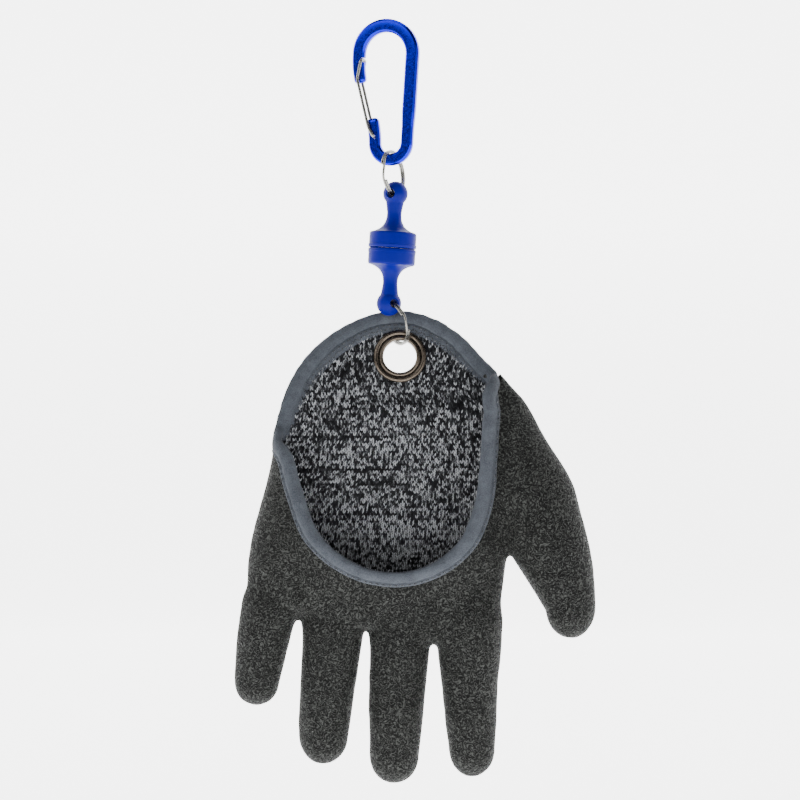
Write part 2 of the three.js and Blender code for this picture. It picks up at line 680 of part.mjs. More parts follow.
// The tape round the mouth: a flat loop that follows both faces of the wall, cut free of the wall itself
function buildBinding() {
  const outside = -(TAPE_GAP + TAPE_WALL);
  const inside = WALL - outside;
  const beyond = -(FIT + TAPE_WALL);
  const soft = 0.25;
  const profile = [
    [TAPE_WIDTH + beyond, inside - soft],
    [TAPE_WIDTH + beyond - 0.8, inside],
    [soft, inside],
    [beyond + soft, inside - 0.8],
    [beyond, WALL / 2],
    [beyond + soft, outside + 0.8],
    [soft, outside],
    [TAPE_WIDTH + beyond - 0.8, outside],
    [TAPE_WIDTH + beyond, outside + soft],
  ];
  const rings = mouth.map(({ angle, z, angleInward, zInward }) => profile.map(([distance, inset]) =>
    palmPoint(angle + angleInward * distance, z + zInward * distance, inset)));
  const tape = toSolid(loft(rings, { endless: true }));
  const slot = handSolid(-TAPE_GAP, { raise: FIT }).subtract(palmSolid(WALL + TAPE_GAP, { core: true }));
  return toGeometry(tape.subtract(slot));
}

// Assembly

const object = new THREE.Group();

const carabiner = new THREE.Group();
carabiner.rotation.z = CARABINER_YAW;
object.add(carabiner);
addMesh(carabiner, 'carabiner_frame', buildCarabinerFrame(), BLUE_METAL);
addMesh(carabiner, 'gate_wire', buildGate(), STEEL);

const bendInside = vector(bottomCentre.x, 0, -EYE_HEIGHT).applyAxisAngle(vector(0, 0, 1), CARABINER_YAW);
const ringInside = RING_RADIUS * Math.cos(Math.PI / RING_SIDES) - RING_WIRE_WIDTH / 2 - FIT;
const ballFromRing = RING_RADIUS - RING_HOLE_OFFSET;
const upperPlane = ringPlane(UPPER_RING_YAW, UPPER_RING_LEAN);
const upperCentre = bendInside.clone().addScaledVector(upperPlane.down, ringInside);
const upperRing = addMesh(object, 'upper_split_ring', buildSplitRing(), STEEL);
placeRing(upperRing, upperCentre, upperPlane);

const connectorWay = vector(-Math.sin(CONNECTOR_TILT), 0, -Math.cos(CONNECTOR_TILT));
const upperBall = upperCentre.clone().addScaledVector(upperPlane.down, ballFromRing);
const lowerBall = upperBall.clone().addScaledVector(connectorWay, 2 * BALL_TO_FACE + FIT);

const upperHalf = new THREE.Group();
upperHalf.position.copy(upperBall);
upperHalf.rotation.y = CONNECTOR_TILT;
const lowerHalf = new THREE.Group();
lowerHalf.position.copy(lowerBall);
lowerHalf.rotation.y = CONNECTOR_TILT + Math.PI;
object.add(upperHalf, lowerHalf);
addMesh(upperHalf, 'connector_upper', buildConnectorHalf(UPPER_RING_YAW), BLUE_PLASTIC);
addMesh(lowerHalf, 'connector_lower', buildConnectorHalf(-LOWER_RING_YAW), BLUE_PLASTIC);
[[upperHalf, 'magnet_upper'], [lowerHalf, 'magnet_lower']].forEach(([half, name]) => {
  const magnet = new THREE.CylinderGeometry(MAGNET_RADIUS, MAGNET_RADIUS, MAGNET_HEIGHT, TURNED_SIDES);
  magnet.rotateX(Math.PI / 2);
  magnet.translate(0, 0, -(BALL_TO_FACE - FIT - MAGNET_HEIGHT / 2));
  addMesh(half, name, toGeometry(toSolid(magnet)), STEEL);
});

const lowerPlane = ringPlane(LOWER_RING_YAW, LOWER_RING_LEAN);
const lowerCentre = lowerBall.clone().addScaledVector(lowerPlane.down, ballFromRing);
const lowerRing = addMesh(object, 'lower_split_ring', buildSplitRing(), STEEL);
placeRing(lowerRing, lowerCentre, lowerPlane);

// The glove hangs where the lower ring passes under the top of the eyelet's hole
const seatRadius = ringInside - EYELET_PLAY;
const seat = lowerCentre.clone()
  .addScaledVector(lowerPlane.down, seatRadius * Math.cos(EYELET_TURN))
  .addScaledVector(lowerPlane.forward, -seatRadius * Math.sin(EYELET_TURN));
const glove = new THREE.Group();
glove.position.copy(seat).add(vector(0, WALL / 2, EYELET_BELOW_EDGE));
object.add(glove);

addMesh(glove, 'latex_coat', buildSkin(0, COAT_WALL), RUBBER);
addMesh(glove, 'knit_liner', buildSkin(COAT_WALL + CLOTH_GAP, LINER_WALL), KNIT);
addMesh(glove, 'edge_binding', buildBinding(), TAPE);
const eyelet = addMesh(glove, 'eyelet', buildEyelet(), NICKEL);
eyelet.position.copy(eyeletPlace());
eyelet.rotation.x = -wallTilt;

export default object;
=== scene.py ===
# %% [markdown]
# # A fishing glove on its carabiner
#
# This notebook dresses the imported solids of a landing glove. The glove is crinkled rubber over a knitted
# liner, its wide mouth is bound with folded tape, and it hangs by an eyelet, two split rings and a magnetic
# connector from a small carabiner. Every new piece is a surface worked out with numpy: a function of two
# numbers on a grid, or a profile carried along a path.
#
# The first cell loads the frame.

import bpy
import numpy as np
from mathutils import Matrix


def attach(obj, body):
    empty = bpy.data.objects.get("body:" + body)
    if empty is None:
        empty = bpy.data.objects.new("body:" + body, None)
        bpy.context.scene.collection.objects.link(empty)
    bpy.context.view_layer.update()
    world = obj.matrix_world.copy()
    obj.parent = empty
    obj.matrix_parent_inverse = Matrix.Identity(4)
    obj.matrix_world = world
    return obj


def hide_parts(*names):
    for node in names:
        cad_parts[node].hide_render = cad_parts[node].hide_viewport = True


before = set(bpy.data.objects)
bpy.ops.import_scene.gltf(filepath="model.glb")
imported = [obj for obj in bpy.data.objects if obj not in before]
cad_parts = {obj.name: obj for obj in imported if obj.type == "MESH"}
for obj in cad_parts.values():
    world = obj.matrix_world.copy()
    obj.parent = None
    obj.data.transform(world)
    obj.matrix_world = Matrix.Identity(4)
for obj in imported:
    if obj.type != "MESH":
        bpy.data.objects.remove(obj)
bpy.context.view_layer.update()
MM = 0.001
rng = np.random.default_rng(31)

# %% [markdown]
# ## Camera first
#
# The camera stands level with the middle of the hanging object, a metre and a half in front of it. A long
# lens keeps the perspective as flat as a product picture's: 36 mm of film behind 135 mm of lens sees 400 mm
# there.

# %% Camera
CAMERA_DISTANCE = 1.5
camera_data = bpy.data.cameras.new("camera")
camera_data.lens = 135
camera_data.sensor_width = 36
camera = bpy.data.objects.new("camera", camera_data)
camera.location = (0.007, -CAMERA_DISTANCE, -0.1842)
camera.rotation_euler = (np.pi / 2, 0, 0)
bpy.context.scene.collection.objects.link(camera)
bpy.context.scene.camera = camera
print("camera at", tuple(camera.location))

# %% [markdown]
# ## Helpers for surfaces
#
# A surface is a stack of rings. Each ring has the same number of points and runs anticlockwise about the way
# forward, so the quads between two rings face outwards. An open stack is closed at both ends by fans.


# %% Surfaces from rings of points
def ring_faces(ring_count, point_count, endless):
    """Quads between ring k and ring k+1, as an array of four corner numbers.

    Corner numbers are k * points + i, and both i and, when endless, k wrap round.
    """
    rings = np.arange(ring_count if endless else ring_count - 1)
    near = rings[:, None] * point_count + np.arange(point_count)[None, :]
    near_next = rings[:, None] * point_count + (np.arange(point_count) + 1)[None, :] % point_count
    step = point_count * (1 - ring_count * (rings == ring_count - 1))[:, None]
    return np.stack([near, near_next, near_next + step, near + step], axis=-1).reshape(-1, 4)


def closed_surface(rings, endless=False):
    """Points and faces of a stack of rings, with a fan from each end ring to its middle unless endless."""
    ring_count, point_count = rings.shape[:2]
    points = rings.reshape(-1, 3)
    faces = ring_faces(ring_count, point_count, endless).tolist()
    if not endless:
        middles = np.array([rings[0].mean(axis=0), rings[-1].mean(axis=0)])
        here = np.arange(point_count)
        after = (here + 1) % point_count
        last = (ring_count - 1) * point_count
        start = np.full(point_count, len(points))
        faces += np.stack([start, after, here], axis=-1).tolist()
        faces += np.stack([start + 1, last + here, last + after], axis=-1).tolist()
        points = np.concatenate([points, middles])
    return points, faces


def mesh_object(name, points, faces, smooth=True):
    """A new object at the origin from points in millimetres and faces."""
    mesh = bpy.data.meshes.new(name)
    mesh.from_pydata((np.asarray(points) * MM).tolist(), [], faces)
    mesh.polygons.foreach_set("use_smooth", np.full(len(mesh.polygons), smooth))
    mesh.update()
    made = bpy.data.objects.new(name, mesh)
    bpy.context.scene.collection.objects.link(made)
    return made


def applied(made):
    """The same object with its modifiers worked into its mesh."""
    evaluated = made.evaluated_get(bpy.context.evaluated_depsgraph_get())
    mesh = bpy.data.meshes.new_from_object(evaluated)
    made.modifiers.clear()
    made.data = mesh
    return made


def finish_piece(made, body, material, nodes):
    """Gives a piece its material, its body and the solids that it stands for."""
    made.data.materials.clear()
    made.data.materials.append(material)
    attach(made, body)
    if nodes:
        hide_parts(*nodes)
    triangles = sum(len(polygon.vertices) - 2 for polygon in made.data.polygons)
    print(f"{made.name}: {triangles} triangles, rides on {body}")
    return made


# %% [markdown]
# ## Helpers for paths
#
# A path through a few chosen points is a Catmull-Rom curve with centripetal spacing, which never loops or
# overshoots between close points. It is sampled densely and then spaced evenly along its length.


# %% Paths
def smooth_path(points, count, closed=False, dense=24):
    """Evenly spaced points on the centripetal Catmull-Rom curve through the given points.

    Between points b and c, with a before and d after, each knot gap is the square root of the distance, and
    the cubic has the tangents (b-a)/t0 - (c-a)/(t0+t1) + (c-b)/t1 at b and the same form at c, times t1.
    """
    points = np.asarray(points, dtype=float)
    if closed:
        a, b, c, d = (np.roll(points, shift, axis=0) for shift in (1, 0, -1, -2))
    else:
        ends = np.concatenate([[2 * points[0] - points[1]], points, [2 * points[-1] - points[-2]]])
        a, b, c, d = ends[:-3], ends[1:-2], ends[2:-1], ends[3:]
    gap = [np.sqrt(np.linalg.norm(q - p, axis=1, keepdims=True)) + 1e-9 for p, q in ((a, b), (b, c), (c, d))]
    start = ((b - a) / gap[0] - (c - a) / (gap[0] + gap[1]) + (c - b) / gap[1]) * gap[1]
    end = ((c - b) / gap[1] - (d - b) / (gap[1] + gap[2]) + (d - c) / gap[2]) * gap[1]
    t = np.linspace(0, 1, dense, endpoint=False)[None, :, None]
    b, c, start, end = (part[:, None] for part in (b, c, start, end))
    curve = ((2 * t**3 - 3 * t**2 + 1) * b + (t**3 - 2 * t**2 + t) * start
             + (3 * t**2 - 2 * t**3) * c + (t**3 - t**2) * end).reshape(-1, points.shape[1])
    last = curve[:1] if closed else points[-1:]
    return even_path(np.concatenate([curve, last]), count, closed)


def lengths_along(curve):
    """Length of a polyline from its start to each of its points."""
    return np.concatenate([[0], np.cumsum(np.linalg.norm(np.diff(curve, axis=0), axis=1))])


def even_path(curve, count, closed=False):
    """Points at equal distances along a polyline; a closed one ends just before its start."""
    way = lengths_along(curve)
    at = np.linspace(0, way[-1], count, endpoint=not closed)
    return np.stack([np.interp(at, way, curve[:, axis]) for axis in range(curve.shape[1])], axis=-1)


def unit(vectors):
    """Vectors divided by their lengths."""
    return vectors / np.linalg.norm(vectors, axis=-1, keepdims=True)


def eased_corners(corners, reach, count):
    """A closed outline whose corners are eased by parabolas that begin and end at the given reach from them."""
    before, after = np.roll(corners, 1, axis=0), np.roll(corners, -1, axis=0)
    start, stop = corners + unit(before - corners) * reach, corners + unit(after - corners) * reach
    t = np.linspace(0, 1, count)[None, :, None]
    eased = (1 - t) ** 2 * start[:, None] + 2 * t * (1 - t) * corners[:, None] + t**2 * stop[:, None]
    return eased.reshape(-1, corners.shape[1])


def carry(places, across, up, profile, scale=None):
    """Rings: place + across * a + up * b for each profile point (a, b), times an optional scale per place."""
    size = np.ones(len(places)) if scale is None else np.asarray(scale)
    a, b = profile[:, 0], profile[:, 1]
    return (places[:, None] + across[:, None] * (size[:, None] * a)[..., None]
            + up[:, None] * (size[:, None] * b)[..., None])


def oval(half_across, half_up, count, squareness=2.0):
    """A superellipse: |a / half_across|^s + |b / half_up|^s = 1, anticlockwise."""
    angle = 2 * np.pi * (np.arange(count) + 0.5) / count
    power = 2 / squareness
    return np.stack([half_across * signed_power(np.cos(angle), power),
                     half_up * signed_power(np.sin(angle), power)], axis=-1)


def signed_power(value, power):
    """The value's size raised to a power, with the value's sign."""
    return np.sign(value) * np.abs(value) ** power


def turned(profile, count):
    """Rings of a turned shape: each profile point (radius, distance) goes round the Z axis."""
    angle = 2 * np.pi * np.arange(count) / count
    radius, distance = profile[:, 0, None], profile[:, 1, None]
    return np.stack([radius * np.cos(angle), radius * np.sin(angle), distance + 0 * angle], axis=-1)


def basis_to_world(points, centre, x_way, y_way, z_way):
    """centre + x * x_way + y * y_way + z * z_way for points (x, y, z)."""
    return centre + points @ np.stack([x_way, y_way, z_way])


def cut(made, cutter_points, cutter_faces):
    """The object minus a closed shape, worked out by an exact Boolean."""
    cutter = mesh_object("cutter", cutter_points, cutter_faces)
    modifier = made.modifiers.new("cut", "BOOLEAN")
    modifier.operation = "DIFFERENCE"
    modifier.solver = "EXACT"
    modifier.object = cutter
    applied(made)
    bpy.data.objects.remove(cutter)
    return made


# %% [markdown]
# ## Helpers for materials
#
# Patterns read Object coordinates. Every piece sits at the origin in metres, so a noise scale of 700 gives
# features about a millimetre and a half wide. Two effects serve several materials and are node groups: a fine
# grain that varies the gloss of metal and plastic, and a soft mottle between two colours for cloth and rubber.


# %% Node helpers
def add_node(tree, kind, inputs=None, **settings):
    """A node of that kind, with its settings, and its inputs set or linked by name or number."""
    made = tree.nodes.new(kind)
    for key, value in settings.items():
        setattr(made, key, value)
    for key, value in (inputs or {}).items():
        if isinstance(value, bpy.types.NodeSocket):
            tree.links.new(value, made.inputs[key])
        else:
            made.inputs[key].default_value = value
    return made


def mix_colours(tree, factor, first, second):
    """The colour between two colours or sockets."""
    made = add_node(tree, "ShaderNodeMix", data_type="RGBA")
    for socket, value in ((made.inputs[0], factor), (made.inputs[6], first), (made.inputs[7], second)):
        if isinstance(value, bpy.types.NodeSocket):
            tree.links.new(value, socket)
        else:
            socket.default_value = value
    return made.outputs[2]


def spread(tree, value, low, high, new_low=0.0, new_high=1.0):
    """A value moved from one range to another and held inside it."""
    names = {"Value": value, "From Min": low, "From Max": high, "To Min": new_low, "To Max": new_high}
    return add_node(tree, "ShaderNodeMapRange", names).outputs[0]


def arithmetic(tree, operation, first, second=0.0):
    """One sum of two values or sockets."""
    return add_node(tree, "ShaderNodeMath", {0: first, 1: second}, operation=operation).outputs[0]


def effect_group(name, inputs, outputs):
    """A new node group with the named input and output sockets, and its two end nodes."""
    group = bpy.data.node_groups.new(name, "ShaderNodeTree")
    for socket, kind in inputs:
        group.interface.new_socket(socket, in_out="INPUT", socket_type=kind)
    for socket, kind in outputs:
        group.interface.new_socket(socket, in_out="OUTPUT", socket_type=kind)
    return group, group.nodes.new("NodeGroupInput"), group.nodes.new("NodeGroupOutput")


def new_material(name, **values):
    """A material with a Principled shader whose sockets are set by name, and its Object coordinates."""
    material = bpy.data.materials.new(name)
    material.use_nodes = True
    tree = material.node_tree
    shader = tree.nodes["Principled BSDF"]
    for key, value in values.items():
        shader.inputs[key.replace("_", " ")].default_value = value
    place = add_node(tree, "ShaderNodeTexCoord").outputs["Object"]
    return material, tree, shader, place


# %% The two shared effects
FLOAT, COLOUR, VECTOR = "NodeSocketFloat", "NodeSocketColor", "NodeSocketVector"

grain, grain_in, grain_out = effect_group(
    "fine_grain",
    [("Place", VECTOR), ("Scale", FLOAT), ("Low", FLOAT), ("High", FLOAT)],
    [("Gloss", FLOAT), ("Height", FLOAT)])
grain_noise = add_node(grain, "ShaderNodeTexNoise", {
    "Vector": grain_in.outputs["Place"], "Scale": grain_in.outputs["Scale"], "Detail": 4.0})
grain.links.new(spread(grain, grain_noise.outputs[0], 0.3, 0.7, grain_in.outputs["Low"],
                       grain_in.outputs["High"]), grain_out.inputs["Gloss"])
grain.links.new(grain_noise.outputs[0], grain_out.inputs["Height"])

mottle, mottle_in, mottle_out = effect_group(
    "soft_mottle",
    [("Place", VECTOR), ("Scale", FLOAT), ("Dark", COLOUR), ("Light", COLOUR)],
    [("Colour", COLOUR), ("Mask", FLOAT)])
mottle_noise = add_node(mottle, "ShaderNodeTexNoise", {
    "Vector": mottle_in.outputs["Place"], "Scale": mottle_in.outputs["Scale"], "Detail": 5.0, "Roughness": 0.6})
mottle_mask = spread(mottle, mottle_noise.outputs[0], 0.32, 0.68)
mottle.links.new(mix_colours(mottle, mottle_mask, mottle_in.outputs["Dark"], mottle_in.outputs["Light"]),
                 mottle_out.inputs["Colour"])
mottle.links.new(mottle_mask, mottle_out.inputs["Mask"])


def use_grain(tree, place, scale, low, high):
    """The fine grain with this material's own scale and range of roughness."""
    return add_node(tree, "ShaderNodeGroup", {"Place": place, "Scale": scale, "Low": low, "High": high},
                    node_tree=grain)


def use_mottle(tree, place, scale, dark, light):
    """The soft mottle between this material's two colours."""
    return add_node(tree, "ShaderNodeGroup", {"Place": place, "Scale": scale, "Dark": (*dark, 1),
                                              "Light": (*light, 1)}, node_tree=mottle)


def bump(tree, shader, height, distance, strength=1.0):
    """Feeds a height in units of the given distance to the shader's normal."""
    made = add_node(tree, "ShaderNodeBump", {"Height": height, "Distance": distance, "Strength": strength})
    tree.links.new(made.outputs[0], shader.inputs["Normal"])


print("node groups:", grain.name, mottle.name)

# %% [markdown]
# ## Metals and plastic
#
# Anodised aluminium is metal seen through a dyed, glassy layer: a saturated metallic base with low roughness.
# The connector is moulded plastic in nearly the same blue, but it is a plain dielectric with a broad, soft
# highlight. The rings and the gate are bright steel wire, and the eyelet is darker nickel with fine turned
# lines round its axis.


# %% Hard materials
def polished(name, colour, metallic, scale, low, high, relief, coat=0.0, specular=0.3):
    """A hard finish: one colour, with the fine grain in its roughness and a faint relief."""
    material, tree, shader, place = new_material(
        name, Base_Color=(*colour, 1), Metallic=metallic, Coat_Weight=coat, Coat_Roughness=0.12,
        Specular_IOR_Level=specular)
    effect = use_grain(tree, place, scale, low, high)
    tree.links.new(effect.outputs["Gloss"], shader.inputs["Roughness"])
    bump(tree, shader, effect.outputs["Height"], relief)
    return material


blue_metal = polished("anodised_blue", (0.002, 0.0, 0.42), 1.0, 900, 0.16, 0.28, 0.00001, 0.1)
blue_plastic = polished("moulded_blue", (0.0, 0.0004, 0.15), 0.0, 1600, 0.4, 0.55, 0.00003, 0.0, 0.1)
steel = polished("bright_steel", (0.22, 0.215, 0.2), 1.0, 1200, 0.18, 0.34, 0.00001)
magnet_plate = polished("magnet_plating", (0.66, 0.66, 0.67), 1.0, 500, 0.2, 0.4, 0.00002)

EYELET_CENTRE = np.array([6.925, 1.811, -162.691])
WALL_LEAN = 0.147
TURNED_LINE = 2 * np.pi / 9000.0
wall_tilt = np.arctan(WALL_LEAN)
eyelet_axis = np.array([0, np.cos(wall_tilt), -np.sin(wall_tilt)])
eyelet_up = np.array([0, np.sin(wall_tilt), np.cos(wall_tilt)])


def turned_nickel():
    """Dark nickel with rings: the distance from the eyelet's axis drives a fine wave of tone and relief."""
    material, tree, shader, place = new_material("dark_nickel", Metallic=1.0)
    centred = add_node(tree, "ShaderNodeMapping", {
        "Vector": place, "Location": tuple(EYELET_CENTRE * MM)}, vector_type="TEXTURE")
    apart = add_node(tree, "ShaderNodeSeparateXYZ", {"Vector": centred.outputs[0]})
    radius = arithmetic(tree, "SQRT", arithmetic(
        tree, "ADD", arithmetic(tree, "POWER", apart.outputs[0], 2.0),
        arithmetic(tree, "POWER", apart.outputs[2], 2.0)))
    lines = arithmetic(tree, "SINE", arithmetic(tree, "MULTIPLY", radius, 2 * np.pi / TURNED_LINE))
    tone = spread(tree, lines, -1.0, 1.0)
    effect = use_grain(tree, place, 700, 0.2, 0.38)
    tree.links.new(mix_colours(tree, tone, (0.045, 0.036, 0.028, 1), (0.15, 0.125, 0.1, 1)),
                   shader.inputs["Base Color"])
    tree.links.new(effect.outputs["Gloss"], shader.inputs["Roughness"])
    bump(tree, shader, tone, 0.00004)
    return material


nickel = turned_nickel()
print("hard materials:", blue_metal.name, blue_plastic.name, steel.name, nickel.name)

# %% [markdown]
# ## Crinkled rubber, knit and tape
#
# A crinkle finish forms when the wet rubber skin shrinks: a net of soft, worm-like ridges about a millimetre
# apart. The colour has painted shade in the creases and a painted highlight on the ridges. A ridged noise could
# make that net, but its ridges all meet in sharp forks. The sine of a smooth noise gives ridges that wander side
# by side, as these do. The knit is a melange of black and light grey yarn, whose shade, with some painted
# light, is kept in an attribute of each stitch. The tape is a fine weave.


# %% Crinkled rubber
CRINKLE_SCALE, CRINKLE_WAVES, CRINKLE_HEIGHT = 420.0, 34.0, 0.0006


def crinkled_rubber():
    """The sine of a noise: its crests wander like worms. They give the relief, painted shade in the creases and
    a painted highlight on the crests.
    """
    material, tree, shader, place = new_material("crinkled_rubber", Specular_IOR_Level=0.12)
    field = add_node(tree, "ShaderNodeTexNoise", {"Vector": place, "Scale": CRINKLE_SCALE, "Detail": 1.5,
                                                  "Roughness": 0.45, "Distortion": 0.4})
    wave = arithmetic(tree, "SINE", arithmetic(tree, "MULTIPLY", field.outputs[0], CRINKLE_WAVES))
    fine = add_node(tree, "ShaderNodeTexNoise", {"Vector": place, "Scale": 1300.0, "Detail": 2.0})
    net = spread(tree, wave, -1.0, 1.0)
    height = arithmetic(tree, "ADD", net, arithmetic(tree, "MULTIPLY", fine.outputs[0], 0.9))
    tone = use_mottle(tree, place, 60.0, (0.0085, 0.0091, 0.0083), (0.0125, 0.0134, 0.0121))
    # painted shade: the colour darkens to near black down in the creases
    painted_crease_shade = mix_colours(tree, spread(tree, height, 0.35, 1.2), (0.0025, 0.0027, 0.0025, 1),
                        tone.outputs["Colour"])
    # painted highlight: the colour lightens on the tops of the ridges
    painted_ridge_highlight = mix_colours(tree, spread(tree, height, 0.95, 1.6, 0.0, 0.6), painted_crease_shade, (0.07, 0.074, 0.069, 1))
    tree.links.new(painted_ridge_highlight, shader.inputs["Base Color"])
    tree.links.new(spread(tree, height, 0.2, 1.5, 0.8, 0.5), shader.inputs["Roughness"])
    bump(tree, shader, height, CRINKLE_HEIGHT)
    return material


rubber = crinkled_rubber()


# %% Knitted yarn and tape
def knitted_yarn(name, attribute):
    """Melange yarn: the piece's shade attribute picks between black and light grey, with a fuzz relief."""
    material, tree, shader, place = new_material(name, Roughness=0.92, Specular_IOR_Level=0.1)
    shade = add_node(tree, "ShaderNodeAttribute", attribute_name=attribute).outputs["Fac"]
    fuzz = add_node(tree, "ShaderNodeTexNoise", {"Vector": place, "Scale": 2600.0, "Detail": 3.0})
    value = arithmetic(tree, "ADD", shade, arithmetic(tree, "MULTIPLY", spread(
        tree, fuzz.outputs[0], 0.3, 0.7, -0.5, 0.5), 0.35))
    ramp = add_node(tree, "ShaderNodeValToRGB", {0: value})
    ramp.color_ramp.elements[0].position = 0.15
    ramp.color_ramp.elements[0].color = (0.004, 0.004, 0.005, 1)
    ramp.color_ramp.elements[1].position = 0.85
    ramp.color_ramp.elements[1].color = (0.42, 0.435, 0.455, 1)
    middle = ramp.color_ramp.elements.new(0.5)
    middle.color = (0.022, 0.0235, 0.026, 1)
    tree.links.new(ramp.outputs[0], shader.inputs["Base Color"])
    bump(tree, shader, fuzz.outputs[0], 0.00012)
    return material


GROUND_WALE, GROUND_ROW = 0.0016, 0.0012


def liner_cloth():
    """The ground behind the stitches: dark yarn with rows and wales as crossed waves."""
    material, tree, shader, place = new_material("liner_cloth", Roughness=0.95, Specular_IOR_Level=0.15)
    apart = add_node(tree, "ShaderNodeSeparateXYZ", {"Vector": place})
    wales = arithmetic(tree, "SINE", arithmetic(tree, "MULTIPLY", apart.outputs[0], 2 * np.pi / GROUND_WALE))
    rows = arithmetic(tree, "SINE", arithmetic(tree, "MULTIPLY", apart.outputs[2], 2 * np.pi / GROUND_ROW))
    weave = arithmetic(tree, "ADD", wales, rows)
    tone = use_mottle(tree, place, 420.0, (0.004, 0.004, 0.005), (0.02, 0.021, 0.023))
    tree.links.new(tone.outputs["Colour"], shader.inputs["Base Color"])
    bump(tree, shader, weave, 0.00015)
    return material


def ribbed_tape():
    """Dark tape: a fine noise for its threads, a soft mottle for its colour."""
    material, tree, shader, place = new_material(
        "ribbed_tape", Roughness=0.88, Specular_IOR_Level=0.2, Sheen_Weight=0.05)
    tone = use_mottle(tree, place, 160.0, (0.022, 0.026, 0.033), (0.046, 0.052, 0.063))
    weave = add_node(tree, "ShaderNodeTexNoise", {"Vector": place, "Scale": 2200.0, "Detail": 2.0})
    thread = spread(tree, weave.outputs[0], 0.35, 0.65)
    tree.links.new(mix_colours(tree, arithmetic(tree, "MULTIPLY", thread, 0.45), tone.outputs["Colour"],
                               (0.085, 0.094, 0.11, 1)), shader.inputs["Base Color"])
    bump(tree, shader, weave.outputs[0], 0.0003)
    return material


yarn = knitted_yarn("melange_yarn", "shade")
cloth = liner_cloth()
tape = ribbed_tape()
print("soft materials:", rubber.name, yarn.name, cloth.name, tape.name)

# %% [markdown]
# ## Carabiner
#
# The bar is flat aluminium with broad bevels, bent round a wide upper and a narrow lower arc. Its centreline
# is two arcs, a straight spine and two short curves for the nose and the hook. The profile is a chamfered
# rectangle with slightly softened corners, so each bevel catches its own band of light.

# %% Carabiner's sizes and centreline
EYE_HEIGHT, TOP_RADIUS, BOTTOM_RADIUS, BOTTOM_SHIFT = 61.2, 14.2, 8.5, 2.7
BAR_WIDTH, BAR_THICKNESS, BAR_CHAMFER = 6.0, 4.2, 0.95
NOSE_DROP, NOSE_LEAN, HOOK_RISE, HOOK_LEAN = 12.3, 0.6, 10.6, 1.0
CARABINER_YAW = np.radians(-20)
GATE_WIRE, FIT = 1.5, 0.3

top = np.array([0, -(TOP_RADIUS - BAR_WIDTH / 2)])
bottom = np.array([BOTTOM_SHIFT, -(EYE_HEIGHT - BOTTOM_RADIUS + BAR_WIDTH / 2)])
hook_side = bottom[0] - BOTTOM_RADIUS
nose_end = top + [-TOP_RADIUS + NOSE_LEAN, -NOSE_DROP]
hook_end = np.array([hook_side - HOOK_LEAN, bottom[1] + HOOK_RISE])


def arc(centre, radius, start, stop, count=60):
    """Points of a circular arc between two angles in degrees."""
    angle = np.radians(np.linspace(start, stop, count))
    return centre + radius * np.stack([np.cos(angle), np.sin(angle)], axis=-1)


def bow(start, middle, stop, count=20):
    """A parabola that leaves and arrives along the way to its middle point."""
    t = np.linspace(0, 1, count)[:, None]
    return (1 - t) ** 2 * start + 2 * t * (1 - t) * middle + t**2 * stop


centreline = even_path(np.concatenate([
    bow(nose_end, np.array([-TOP_RADIUS - NOSE_LEAN, (nose_end[1] + top[1]) / 2]), top - [TOP_RADIUS, 0]),
    arc(top, TOP_RADIUS, 180, 0),
    arc(bottom, BOTTOM_RADIUS, 0, -180),
    bow(bottom - [BOTTOM_RADIUS, 0], np.array([hook_side, (bottom[1] + hook_end[1]) / 2]), hook_end),
]), 220)
print("centreline length:", round(float(lengths_along(centreline)[-1]), 1), "mm")


# %% Bar with bevels
def soft_octagon(half_width, half_height, chamfer, rounding=0.22, count=4):
    """A rectangle with cut corners, each of its eight corners eased by a short parabola."""
    w, h, c = half_width, half_height, chamfer
    corners = np.array([[w, -h + c], [w, h - c], [w - c, h], [-w + c, h],
                        [-w, h - c], [-w, -h + c], [-w + c, -h], [w - c, -h]])
    return eased_corners(corners, rounding, count)


# the spine and the upper bend are up to an eighth wider than the bar's ends and its lower bend
SWELL, SWELL_FROM, SWELL_OVER, SWELL_FADE, SWELL_FADE_RINGS = 0.12, 16.0, 8.0, 0.107, 30
END_RINGS, END_REACH, END_SHRINK = 5, 0.33, 0.62


def carabiner_world(points):
    """Turns points of the carabiner's own plane (across, through, up) by its yaw about Z."""
    cos, sin = np.cos(CARABINER_YAW), np.sin(CARABINER_YAW)
    return points @ np.array([[cos, sin, 0], [-sin, cos, 0], [0, 0, 1]])


def build_carabiner():
    """The profile carried along the centreline, with a few shrinking rings over each rounded end.

    Over an end, ring k lies further out by the sine of its share of a right angle, and shrinks by the cosine.
    """
    tangent = unit(np.gradient(centreline, axis=0))
    ease = np.linspace(0, np.pi / 2, END_RINGS + 1)[1:]
    reach, shrink = END_REACH * BAR_WIDTH * np.sin(ease), 1 - END_SHRINK * (1 - np.cos(ease))
    places = np.concatenate([(centreline[0] - tangent[0] * reach[:, None])[::-1], centreline,
                             centreline[-1] + tangent[-1] * reach[:, None]])
    ways = np.concatenate([np.repeat(tangent[:1], END_RINGS, 0), tangent,
                           np.repeat(tangent[-1:], END_RINGS, 0)])
    height = centreline[:, 1] - centreline[:, 1].min()
    swell = 1 + SWELL * np.clip((height - SWELL_FROM) / SWELL_OVER, 0, 1)
    from_end = np.minimum(np.arange(len(swell)), np.arange(len(swell))[::-1])
    swell *= np.clip(from_end / SWELL_FADE_RINGS, 0, 1) * SWELL_FADE + 1 - SWELL_FADE
    scale = np.concatenate([shrink[::-1], np.maximum(swell, 1), shrink])
    spots = np.stack([places[:, 0], 0 * places[:, 0], places[:, 1]], axis=-1)
    across = np.stack([ways[:, 1], 0 * ways[:, 0], -ways[:, 0]], axis=-1)
    up = np.repeat([[0.0, 1.0, 0.0]], len(spots), 0)
    rings = carry(spots, across, up, soft_octagon(BAR_WIDTH / 2, BAR_THICKNESS / 2, BAR_CHAMFER), scale)
    points, faces = closed_surface(rings)
    return mesh_object("carabiner_bar", carabiner_world(points), faces)


